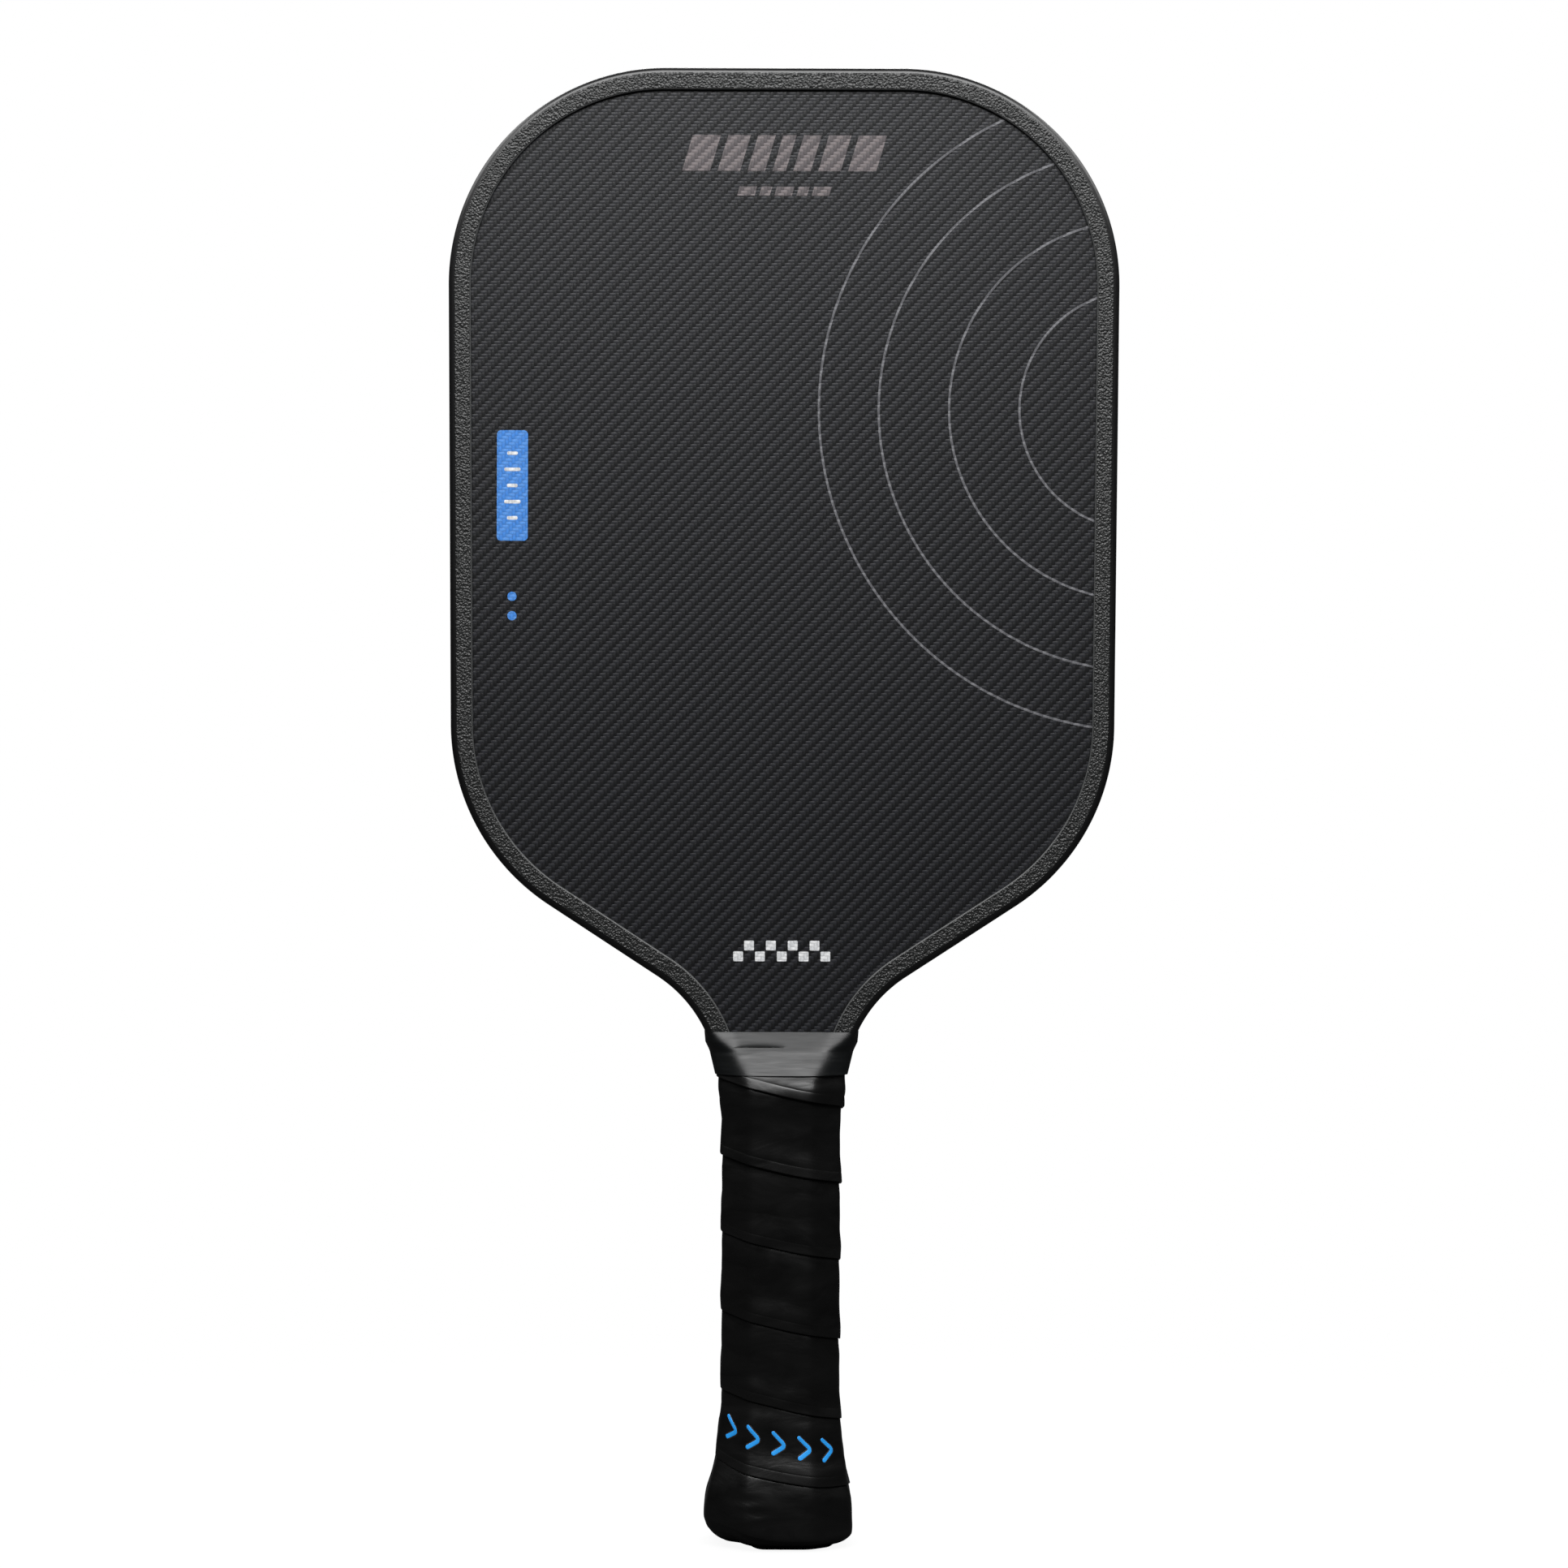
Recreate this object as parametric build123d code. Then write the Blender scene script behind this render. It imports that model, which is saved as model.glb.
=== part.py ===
from build123d import *
import math
import os

# Pickleball paddle: a honeycomb core between carbon skins, an edge guard round the head, and an
# eight-sided handle wrapped in a cushion grip.  Millimetres.  +Z runs from the butt to the head,
# the front face looks along -Y and the origin is the middle of the flat butt end.

# ---- head outline, over the edge guard ---------------------------------------------------------
overall_length = 419.0         # butt end to the top of the guard
head_top_width = 191.8         # across the square top corners, before they are rounded
head_base_width = 188.2        # across the shoulder corners, before they are rounded
throat_width = 45.7            # across the throat corners, before they are rounded
neck_height = 126.5            # where the straight handle ends
neck_length = 26.0             # from there up to the throat corners
shoulder_rise = 46.4           # from the throat corners up to the shoulder corners
top_corner_radius = 61.6
shoulder_radius = 61.7
throat_radius = 37.6
neck_radius = 6.0

# ---- sandwich panel ----------------------------------------------------------------------------
core_thickness = 14.0
film_thickness = 0.15          # adhesive film between core and skin
skin_thickness = 0.5
foam_width = 6.0               # foam bead round the rim of the head
cell_pitch = 15.5              # honeycomb, across the flats from wall to wall
cell_wall = 1.3
core_border = 0.8              # least whole wall left round the outermost cells

# ---- edge guard --------------------------------------------------------------------------------
guard_wall = 1.6               # web outside the panel's rim
guard_lip_width = 6.4          # outer edge to the inner edge of the lip
guard_lip_thickness = 0.9
guard_edge_radius = 2.0        # outer edges, rounded in three bevels that touch this radius
guard_end_gap = 0.5            # both ends stop this far above the pallets, under the tape
bond_tape_thickness = 0.15     # double-sided tape that holds the guard
bond_tape_setback = 0.6        # tape stops short of the lip's edge

# ---- handle ------------------------------------------------------------------------------------
handle_width = 29.5            # bare handle, across the narrow sides
handle_depth = 26.0            # bare handle, front facet to back facet
handle_face_width = 15.5       # front facet
pallet_ramp = 14.0             # the pallets slope down onto the skins over this length
pallet_tip_thickness = 0.5

# ---- butt cap ----------------------------------------------------------------------------------
cap_height = 33.0
cap_mouth_wall = 0.6           # thin upper edge of the cap
cap_flare = 4.0                # how far the widest part stands out from the bare handle
cap_flare_height = 8.5         # where the cap is widest
cap_rim_radius = 6.0           # rounding down to the flat end
cap_base_thickness = 3.0
cap_clearance = 0.1

staple_crown = 9.0
staple_leg = 4.2
staple_wire_width = 1.2
staple_wire_thickness = 0.5
staple_height = 27.0
staple_clearance = 0.05        # round the wire; the crown stands this proud of the cap

# ---- cushion grip ------------------------------------------------------------------------------
backing_thickness = 0.15       # adhesive backing between handle and grip
grip_thickness = 1.9
grip_edge_thickness = 0.8      # both long edges of the strip are skived to this
grip_overlap = 2.9             # each turn lies this far over the one below
grip_clearance = 0.25          # between turns, and over the cap
grip_rim_height = 1.0          # lower edge of the first, level turn
grip_start_turn = -0.75        # the strip starts at the middle of the front
grip_start_rise = 19.5         # rise of a turn over the flare of the cap
grip_pitch = 22.5              # rise of a turn along the straight handle
grip_flare_turns = 2.0         # turns wound before the pitch opens out
grip_lean = 1.6                # the wrap dips by this much on its left side
grip_top_gap = 1.0             # the top is cut level this far below the pallets' tips
grip_bend_ease = 0.8           # the strip stands off the bend of the neck by this much
grip_bend_run = 8.0
grip_squeeze = 0.7             # what the finishing tape leaves of the strip's thickness

# ---- finishing tape ----------------------------------------------------------------------------
tape_thickness = 0.5
tape_clearance = 0.1
tape_skirt = 7.5               # from the pallets' tips down to the lower edge
tape_fold_rise = 1.0           # from the guard's ends up to the fold
tape_hem = 3.0                 # from the fold up to the upper edge
tape_ear = 1.0                 # the fold stands proud of the guard at both sides
tape_squeeze_run = 4.0         # length over which the grip is pressed thin

# ---- derived sizes -----------------------------------------------------------------------------
panel_half = core_thickness / 2 + film_thickness + skin_thickness
guard_half = panel_half + bond_tape_thickness + guard_lip_thickness
panel_bottom_height = cap_base_thickness + cap_clearance
throat_height = neck_height + neck_length
shoulder_height = throat_height + shoulder_rise
pallet_top_height = neck_height + pallet_ramp
guard_end_height = pallet_top_height + guard_end_gap
grip_top_height = pallet_top_height - grip_top_gap
tape_bottom_height = pallet_top_height - tape_skirt
tape_fold_height = guard_end_height + tape_fold_rise
tape_top_height = tape_fold_height + tape_hem
neck_taper = (throat_width / 2 - guard_wall - handle_width / 2) / neck_length
slant_run = (handle_width - handle_face_width) / 2
slant_rise = handle_depth / 2 - panel_half
slant_length = math.hypot(slant_run, slant_rise)
slant_nx = slant_rise / slant_length      # the slanted facets face this way, all the way up
slant_ny = slant_run / slant_length
FULL_TURN = 2 * math.pi
STATIONS = 12                  # places round the handle where the grip's section is set
FLAT_ENOUGH = 1e-9             # four corners that miss one plane by less make one facet


def outline_face():
    """The paddle's flat shape as seen from the front, over the guard and carried down the handle."""
    handle_half = handle_width / 2 + guard_wall
    right = [
        (head_top_width / 2, overall_length),
        (head_base_width / 2, shoulder_height),
        (throat_width / 2, throat_height),
        (handle_half, neck_height),
        (handle_half, panel_bottom_height - guard_wall),
    ]
    left = [(-x, z) for x, z in reversed(right)]
    radii = [top_corner_radius, shoulder_radius, throat_radius, neck_radius, 0]
    line = FilletPolyline(*(right + left), radius=radii + radii[::-1], close=True)
    return make_face(line)


def zone_above(height):
    """A flat rectangle that keeps everything above a height."""
    reach = overall_length
    return Pos(0, height + reach) * Rectangle(2 * reach, 2 * reach)


def slab(face, start, thickness):
    """A flat shape given thickness, from a distance in front of the middle plane forwards."""
    return extrude(Plane.XZ.offset(start) * face, thickness)


def section_at(height):
    """Distances from the axis to the side, front and slanted facets of the bare handle and neck."""
    climb = max(0.0, height - neck_height)
    ramp = min(1.0, climb / pallet_ramp)
    side = handle_width / 2 + neck_taper * climb
    front = handle_depth / 2 - ramp * (slant_rise - pallet_tip_thickness)
    return side, front, slant_nx * side + slant_ny * panel_half


def eight_corners(side, front, slant):
    """Corners of an eight-sided section from its facets' distances, going right, front, left, back."""
    y_low = (slant - slant_nx * side) / slant_ny
    x_face = (slant - slant_ny * front) / slant_nx
    quarter = [(side, -y_low), (x_face, -front)]
    half = quarter + [(-x, y) for x, y in reversed(quarter)]
    return half + [(x, -y) for x, y in reversed(half)]


def ring_corners(height, lift):
    """The handle's eight corners at a height, moved out by lift."""
    side, front, slant = section_at(height)
    return eight_corners(side + lift, front + lift, slant + lift)


def ring_face(height, lift):
    """The handle's eight-sided section at a height, moved out by lift."""
    points = [(x, y, height) for x, y in ring_corners(height, lift)]
    return make_face(Polyline(*points, close=True))


def flat_face(*points):
    """A flat facet from its corners."""
    return Face(Wire.make_polygon(points))


def facets_between(a, b, c, d):
    """One flat facet on four corners in a plane, otherwise two triangles."""
    twist = (b - a).cross(c - a).dot(d - a)
    if abs(twist) < FLAT_ENOUGH:
        return [flat_face(a, b, c, d)]
    return [flat_face(a, b, c), flat_face(a, c, d)]


def faceted_solid(rings):
    """Solid with flat facets through rings of equally many corners; its first and last rings are flat."""
    faces = [flat_face(*rings[0]), flat_face(*rings[-1])]
    for low, high in zip(rings, rings[1:]):
        for k in range(len(low)):
            faces += facets_between(low[k - 1], low[k], high[k], high[k - 1])
    return Solid(Shell(faces))


def panel_face():
    """Outline of the core and skins: the guard's outline less its web."""
    return offset(outline_face(), -guard_wall)


def foam_face(panel):
    """Band round the rim of the head, down to the ends of the guard."""
    band = panel - offset(panel, -foam_width)
    return band & zone_above(guard_end_height)


def honeycomb_core(panel):
    """Hexagonal cells through the panel, cut to the outline inside the foam and down the handle."""
    shape = (panel - foam_face(panel)).faces()[0]
    radius = (cell_pitch - cell_wall) / math.sqrt(3)
    clear = offset(shape, -core_border).faces()[0]
    row_rise = cell_pitch * math.sqrt(3) / 2
    rows = int((overall_length - panel_bottom_height) / row_rise) + 1
    columns = int(head_top_width / cell_pitch) // 2 + 1
    corners = [(radius * math.sin(k * math.pi / 3), radius * math.cos(k * math.pi / 3)) for k in range(6)]
    cells = []
    for row in range(rows):
        z = panel_bottom_height + (row + 0.5) * row_rise
        shift = cell_pitch / 2 if row % 2 else 0.0
        for column in range(-columns, columns + 1):
            x = column * cell_pitch + shift
            points = [(x + dx, z + dz) for dx, dz in corners]
            if all(clear.is_inside(Vector(px, pz, 0)) for px, pz in points):
                cells.append(Wire.make_polygon([Vector(px, pz, 0) for px, pz in points]))
    sheet = Face(shape.outer_wire(), cells)
    return slab(sheet, -core_thickness / 2, core_thickness)


def core_film(panel):
    """Adhesive film on the front of the core."""
    return slab(panel, core_thickness / 2, film_thickness)


def face_skin(panel):
    """Carbon skin on the front, from the rim of the head to the end of the handle."""
    return slab(panel, core_thickness / 2 + film_thickness, skin_thickness)


def edge_foam(panel):
    """Foam bead that closes the honeycomb round the head."""
    return slab(foam_face(panel), -core_thickness / 2, core_thickness)


def bevelled(solid, depths, length):
    """Bevels the long outer edges that lie at these distances in front of or behind the middle plane."""
    outline = outline_face()
    middle = offset(outline, -guard_lip_width / 2).faces()[0]
    chosen = []
    for edge in solid.edges().filter_by(Plane.XZ):
        point = edge @ 0.5
        at_end = point.Z < guard_end_height + guard_wall
        at_depth = min(abs(abs(point.Y) - depth) for depth in depths) < tape_clearance / 2
        if at_depth and not at_end and not middle.is_inside(Vector(point.X, point.Z, 0)):
            chosen.append(edge)
    return chamfer(chosen, length)


def edge_guard(panel):
    """U-shaped strip round the head: rounded outer edges, flat lips over both skins."""
    outline = outline_face()
    inner = offset(outline, -guard_lip_width)
    ring = (outline - inner) & zone_above(guard_end_height)
    solid = slab(ring, -guard_half, 2 * guard_half)
    first = guard_edge_radius * (2 - math.sqrt(2))
    second = guard_edge_radius * (math.tan(math.pi / 8) - math.tan(math.pi / 16))
    solid = bevelled(solid, [guard_half], first)
    solid = bevelled(solid, [guard_half, guard_half - first], second)
    channel_half = panel_half + bond_tape_thickness
    return solid - slab(panel, -channel_half, 2 * channel_half)


def guard_bond_tapes(panel):
    """Double-sided tape between the lips and the skins, front and back."""
    inner = offset(outline_face(), bond_tape_setback - guard_lip_width)
    strip = (panel - inner) & zone_above(guard_end_height)
    front = slab(strip, panel_half, bond_tape_thickness)
    return Compound([front.solid(), mirror(front, about=Plane.XZ).solid()])


def staple_places():
    """Centre of each staple's crown: the front and back facets of the cap."""
    surface = handle_depth / 2 + flare_at(staple_height)
    return [(-surface, 1), (surface, -1)]


def staple(y, inward, clearance=0.0):
    """One wire staple, its crown flat on the cap and its legs driven towards the middle."""
    width = staple_wire_width + 2 * clearance
    wire = staple_wire_thickness
    crown_y = y + inward * (wire / 2 - staple_clearance)
    crown = Pos(0, crown_y, staple_height) * Box(staple_crown, wire, width)
    leg = Box(wire + 2 * clearance, staple_leg + clearance, width)
    leg_y = y + inward * ((staple_leg + clearance) / 2 - staple_clearance)
    offset_x = (staple_crown - wire) / 2
    return crown + Pos(offset_x, leg_y, staple_height) * leg + Pos(-offset_x, leg_y, staple_height) * leg


def handle_pallet():
    """Front handle pallet: flat facet, slanted sides, and a ramp down onto the skin at the neck."""
    rings = []
    for height in (panel_bottom_height, neck_height, pallet_top_height):
        rings.append([Vector(x, y, height) for x, y in ring_corners(height, 0)[:4]])
    solid = faceted_solid(rings)
    for y, inward in staple_places():
        solid = solid - staple(y, inward, staple_clearance)
    return solid


def flare_at(height):
    """How far the cap's outer surface stands out from the bare handle at a height.

    A rounded rim, a short straight wall, then two equal arcs bent opposite ways up to the mouth.
    """
    if height < cap_rim_radius:
        drop = cap_rim_radius - height
        return cap_flare - cap_rim_radius + math.sqrt(cap_rim_radius**2 - drop**2)
    span = cap_height - cap_flare_height
    fall = cap_flare - cap_mouth_wall
    radius = (span**2 + fall**2) / (4 * fall)
    climb = min(max(height - cap_flare_height, 0.0), span)
    run = min(climb, span - climb)
    bend = radius - math.sqrt(radius**2 - run**2)
    return cap_flare - bend if climb < span / 2 else cap_mouth_wall + bend


def flare_arc(reach, low, high):
    """Arc of the cap's profile between two heights."""
    heights = (low, (low + high) / 2, high)
    return ThreePointArc(*[(reach + flare_at(z), z) for z in heights])


def flare_prism(reach, turn):
    """A straight bar with the cap's profile on two opposite sides, turned about the handle's axis."""
    middle = (cap_flare_height + cap_height) / 2
    rim = flare_arc(reach, 0, cap_rim_radius)
    lower = flare_arc(reach, cap_flare_height, middle)
    upper = flare_arc(reach, middle, cap_height)
    base = Line((0, 0), rim @ 0)
    wall = Line(rim @ 1, lower @ 0)
    top = Line(upper @ 1, (0, cap_height))
    axis = Line((0, cap_height), (0, 0))
    half = make_face([base, rim, wall, lower, upper, top, axis])
    profile = half + mirror(half, about=Plane.YZ)
    return Rot(Z=turn) * extrude(Plane.XZ * profile, handle_width + handle_depth, both=True)


def butt_cap():
    """Flared moulded cap: eight facets curved in height only, a pocket for the handle, a flat end."""
    side, front, slant = section_at(0)
    slant_turn = math.degrees(math.atan2(slant_ny, slant_nx))
    solid = flare_prism(side, 0) & flare_prism(front, 90)
    solid = solid & flare_prism(slant, slant_turn) & flare_prism(slant, -slant_turn)
    pocket_depth = cap_height - cap_base_thickness
    pocket = extrude(Pos(0, 0, cap_base_thickness) * ring_face(0, cap_clearance), pocket_depth)
    solid = solid - pocket
    for y, inward in staple_places():
        solid = solid - staple(y, inward, staple_clearance)
    return solid


def butt_cap_staples():
    """The staples that hold the cap on the handle."""
    return Compound([staple(y, inward).solid() for y, inward in staple_places()])


def grip_backing():
    """Adhesive backing of the grip, round the straight part of the handle above the cap."""
    bottom = cap_height + cap_clearance
    outer = ring_face(bottom, backing_thickness)
    band = outer - ring_face(bottom, 0)
    return extrude(band, neck_height - neck_radius - bottom)


def ring_stations(height, lift):
    """Twelve points of the section: each side's middle and two corners, right, front, left, back."""
    corners = ring_corners(height, lift)
    side, front, _ = section_at(height)
    middles = [(side + lift, 0), (0, -front - lift), (-side - lift, 0), (0, front + lift)]
    points = []
    for k, middle in enumerate(middles):
        points += [middle, corners[2 * k], corners[2 * k + 1]]
    return points


def turns_at(station):
    """Turns wound from the right side to a station, going over the front, left and back."""
    x, y = ring_stations(0, 0)[station % STATIONS]
    return station // STATIONS + (math.atan2(-y, x) / FULL_TURN) % 1.0


def seam_height(turns):
    """Height of the strip's lower edge after so many turns: level once round, then climbing."""
    climb_start = grip_start_turn + 1
    early = min(max(turns - climb_start, 0.0), grip_flare_turns - climb_start)
    late = max(turns - grip_flare_turns, 0.0)
    rise = grip_start_rise * early + grip_pitch * late
    lean = grip_lean * (1 - math.cos(FULL_TURN * turns)) / 2
    return grip_rim_height + rise - lean * min(1.0, rise / grip_pitch)


def grip_base(height):
    """Distance from the bare handle to the inside of the grip, at a height.

    It follows the cap, slopes down from the cap's mouth, and eases over the bend of the neck.
    """
    if height <= cap_height:
        return flare_at(max(0.0, height)) + grip_clearance
    share = min(1.0, (height - cap_height) / grip_overlap / 2)
    ease = max(0.0, 1 - abs(height - neck_height) / grip_bend_run)
    return (cap_mouth_wall + grip_clearance) * (1 - share) + backing_thickness * share + grip_bend_ease * ease


def squeeze_at(height):
    """Share of its thickness that the grip keeps at a height, pressed thin under the tape."""
    share = (height - tape_bottom_height + tape_squeeze_run) / tape_squeeze_run
    return 1.0 - (1.0 - grip_squeeze) * min(1.0, max(0.0, share))


def spread(low, high):
    """Three heights evenly between two others."""
    return [low + (high - low) * share for share in (0.25, 0.5, 0.75)]


def strip_section(turns, first_turn, last_turn, fresh):
    """Section of the strip as (height, lift) points, round from its lower outer edge.

    Both long edges are skived thin.  After the first turn the lower edge lies over the skived
    upper edge of the turn below, and stands proud of it by its own thickness.
    """
    low = seam_height(turns)
    above = seam_height(turns + 1) + grip_overlap
    high = grip_top_height if last_turn else min(above, grip_top_height)
    width = high - low
    thick = grip_edge_thickness + (grip_thickness - grip_edge_thickness) * fresh
    skive = min(grip_overlap, 0.6 * width)
    flat_low = low + min(2 * grip_overlap, (width - skive) / 2)
    flat_high = high - skive
    seat = low + min(grip_overlap + grip_clearance, 0.7 * width)
    over_edge = 0.0 if first_turn else grip_edge_thickness + grip_clearance
    over_flat = 0.0 if first_turn else thick + grip_clearance
    lip = grip_edge_thickness if first_turn else over_flat + grip_edge_thickness
    ledge = low + (seat - low) * (0.5 if first_turn else 0.95)
    outer = [(low, lip), (flat_low, thick)]
    outer += [(height, thick) for height in spread(flat_low, flat_high)]
    outer += [(flat_high, thick), (high, grip_edge_thickness)]
    inner = [(low, over_flat), (ledge, over_edge), (seat, 0.0)]
    inner += [(height, 0.0) for height in spread(seat, high)]
    inner += [(high, 0.0)]
    return outer + inner[::-1]


def cushion_grip():
    """The grip: one skived strip wound from the butt up over the eight corners of the handle."""
    start = round(grip_start_turn * STATIONS)
    end = start + STATIONS
    while seam_height(turns_at(end + 3)) < tape_bottom_height - grip_clearance:
        end += 3
    sections = []
    for station in range(start, end + 1):
        if station % 3 == 0 and station not in (start, end):
            continue
        turns = turns_at(station)
        fresh = min(1.0, (turns - grip_start_turn) * 3)
        points = strip_section(turns, station < start + STATIONS, station > end - STATIONS, fresh)
        ring = []
        for height, lift in points:
            reach = grip_base(height) + lift * squeeze_at(height)
            x, y = ring_stations(height, reach)[station % STATIONS]
            ring.append(Vector(x, y, height))
        sections.append(ring)
    return faceted_solid(sections)


def guard_side(height):
    """Half width over the guard at a height."""
    row = Pos(0, height) * Rectangle(head_base_width, tape_clearance)
    return (outline_face() & row).bounding_box().max.X


def tape_section(height, lift):
    """Eight-sided section of the finishing tape's inner surface, moved out by lift."""
    if height < pallet_top_height:
        under = backing_thickness + (grip_thickness + grip_clearance + grip_edge_thickness) * grip_squeeze
        points = ring_corners(height, under + tape_clearance + lift)
    else:
        ear = tape_ear if height < tape_top_height else 0.0
        side = guard_side(height) + tape_clearance + ear + lift
        front = guard_half + tape_clearance + lift
        reach = slant_nx * (side - guard_edge_radius) + slant_ny * (front - guard_edge_radius)
        points = eight_corners(side, front, reach + guard_edge_radius)
    return [Vector(x, y, height) for x, y in points]


def finishing_tape():
    """Wide tape band that closes the top of the grip and hides the ends of the guard."""
    heights = (tape_bottom_height, grip_top_height, tape_fold_height, tape_top_height)
    outer = faceted_solid([tape_section(height, tape_thickness) for height in heights])
    inner = faceted_solid([tape_section(height, 0.0) for height in heights])
    return outer - inner


def main():
    """Build every piece and write it to its own STEP file."""
    panel = panel_face()
    film = core_film(panel)
    skin = face_skin(panel)
    pallet = handle_pallet()
    pieces = {
        "honeycomb_core": honeycomb_core(panel),
        "front_core_film": film,
        "back_core_film": mirror(film, about=Plane.XZ),
        "front_face_skin": skin,
        "back_face_skin": mirror(skin, about=Plane.XZ),
        "edge_foam": edge_foam(panel),
        "edge_guard": edge_guard(panel),
        "edge_guard_bond_tapes": guard_bond_tapes(panel),
        "handle_front_pallet": pallet,
        "handle_back_pallet": mirror(pallet, about=Plane.XZ),
        "butt_cap": butt_cap(),
        "butt_cap_staples": butt_cap_staples(),
        "grip_adhesive_backing": grip_backing(),
        "cushion_grip": cushion_grip(),
        "finishing_tape": finishing_tape(),
    }
    os.makedirs("parts", exist_ok=True)
    for name, shape in pieces.items():
        export_step(shape, f"parts/{name}.step")


main()
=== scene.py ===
"""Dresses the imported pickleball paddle: rim, carbon face, wound grip, tape and plain prints."""

import logging
import math
from dataclasses import dataclass, field
from enum import Enum

import bpy
import numpy as np
from mathutils import Matrix, Vector


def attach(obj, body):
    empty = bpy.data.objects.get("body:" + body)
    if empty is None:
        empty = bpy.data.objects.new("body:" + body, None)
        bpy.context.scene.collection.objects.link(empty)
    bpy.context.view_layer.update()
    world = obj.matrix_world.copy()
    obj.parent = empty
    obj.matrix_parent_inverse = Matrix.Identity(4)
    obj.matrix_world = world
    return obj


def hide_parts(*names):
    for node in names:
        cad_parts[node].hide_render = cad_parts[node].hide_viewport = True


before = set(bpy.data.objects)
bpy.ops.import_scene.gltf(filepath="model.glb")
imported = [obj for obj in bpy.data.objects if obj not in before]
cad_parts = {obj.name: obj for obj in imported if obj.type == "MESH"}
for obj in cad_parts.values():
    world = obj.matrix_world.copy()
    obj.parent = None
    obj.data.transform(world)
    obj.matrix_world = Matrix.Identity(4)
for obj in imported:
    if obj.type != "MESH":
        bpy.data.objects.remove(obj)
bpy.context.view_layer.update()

MM = 0.001
FULL_TURN = 2 * math.pi
FRONT_TURN = 0.25  # turns run from the right side over the front
BODY = "root"
SHARP_ANGLE = math.radians(40)
NOISE_LOW, NOISE_HIGH = 0.3, 0.7  # most of a noise texture's values lie between
WHITE = (1.0, 1.0, 1.0, 1.0)
MIX_A, MIX_B = 6, 7  # the colour sockets of a Mix node
log = logging.getLogger("paddle")

Link = bpy.types.NodeSocket
Tree = bpy.types.NodeTree
Array = np.ndarray
Colour = tuple[float, float, float, float]


# ---- small tools ---------------------------------------------------------------------------------


def linear(code: str) -> Colour:
    """Turns an sRGB hex colour into linear RGBA.

    Args:
        code: six hex digits after a hash sign.

    Returns:
        The colour as Blender's sockets take it.
    """
    # the numbers are those of the sRGB standard's curve
    srgb = np.array([int(code[k:k + 2], 16) / 255 for k in (1, 3, 5)])
    rgb = np.where(srgb <= 0.04045, srgb / 12.92, ((srgb + 0.055) / 1.055) ** 2.4)
    return (float(rgb[0]), float(rgb[1]), float(rgb[2]), 1.0)


def smooth(x: Array, low: float, high: float) -> Array:
    """Rises from 0 at low to 1 at high along 3t^2 - 2t^3."""
    t = np.clip((np.asarray(x, float) - low) / (high - low), 0.0, 1.0)
    return t * t * (3 - 2 * t)


def bend(x: Array, start: float, ease: float) -> Array:
    """0 before start, x - start after: a branch of a hyperbola rounds the bend over ease."""
    t = np.asarray(x, float) - start
    return (t + np.sqrt(t**2 + ease**2)) / 2


def bell(x: Array, middle: float, spread: float) -> Array:
    """A bump one high at the middle: exp(-((x - middle) / spread)^2)."""
    return np.exp(-(((x - middle) / spread) ** 2))


def walked(points: Array) -> Array:
    """How far one has walked at each point of a line, from 0 at the first."""
    legs = np.linalg.norm(np.diff(points, axis=0), axis=1)
    return np.concatenate([[0.0], np.cumsum(legs)])


def left_of(steps: Array) -> Array:
    """The unit normal to the left of each step."""
    unit = steps / np.linalg.norm(steps, axis=1, keepdims=True)
    return np.stack([-unit[:, 1], unit[:, 0]], axis=1)


def add_node(tree: Tree, kind: str, inputs: dict | None = None, **settings) -> bpy.types.Node:
    """Adds one node.

    Args:
        tree: the node tree.
        kind: the node's type without its leading "ShaderNode".
        inputs: for each socket's name or number, a value or the output to link to it.
        settings: the node's own settings.

    Returns:
        The new node.
    """
    node = tree.nodes.new("ShaderNode" + kind)
    for name, value in settings.items():
        setattr(node, name, value)
    for key, value in (inputs or {}).items():
        socket = node.inputs[key]
        if isinstance(value, bpy.types.NodeSocket):
            tree.links.new(value, socket)
        else:
            socket.default_value = value
    return node


def grid_quads(rows: int, cols: int, ring: bool) -> Array:
    """Numbers the corners of a grid's quads, row by row.

    Args:
        rows: how many rows of corners there are.
        cols: how many corners are in a row.
        ring: whether the last column leads back to the first.

    Returns:
        Four corner numbers for each quad.
    """
    i, j = np.meshgrid(np.arange(rows - 1), np.arange(cols if ring else cols - 1), indexing="ij")
    k = (j + 1) % cols
    quads = np.stack([i * cols + j, i * cols + k, (i + 1) * cols + k, (i + 1) * cols + j], axis=-1)
    return quads.reshape(-1, 4)


def make_piece(name: str, points: Array, faces: list, uv: Array | None = None) -> bpy.types.Object:
    """Puts points and faces into a new smooth-shaded object that rides on the paddle.

    Args:
        name: the piece's name.
        points: corners, one row of x, y, z each, in millimetres.
        faces: lists of corner numbers.
        uv: one pair for each corner of each face in turn, in metres, or None.

    Returns:
        The new object, at the origin.
    """
    mesh = bpy.data.meshes.new(name)
    mesh.from_pydata((points * MM).tolist(), [], faces)
    mesh.polygons.foreach_set("use_smooth", np.ones(len(faces), bool))
    if uv is not None:
        layer = mesh.uv_layers.new(name="UVMap")
        layer.data.foreach_set("uv", uv.astype(np.float32).ravel())
    mesh.set_sharp_from_angle(angle=SHARP_ANGLE)
    mesh.update()
    piece = bpy.data.objects.new(name, mesh)
    bpy.context.scene.collection.objects.link(piece)
    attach(piece, BODY)
    log.info("%s: %d faces", name, len(faces))
    return piece


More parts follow.
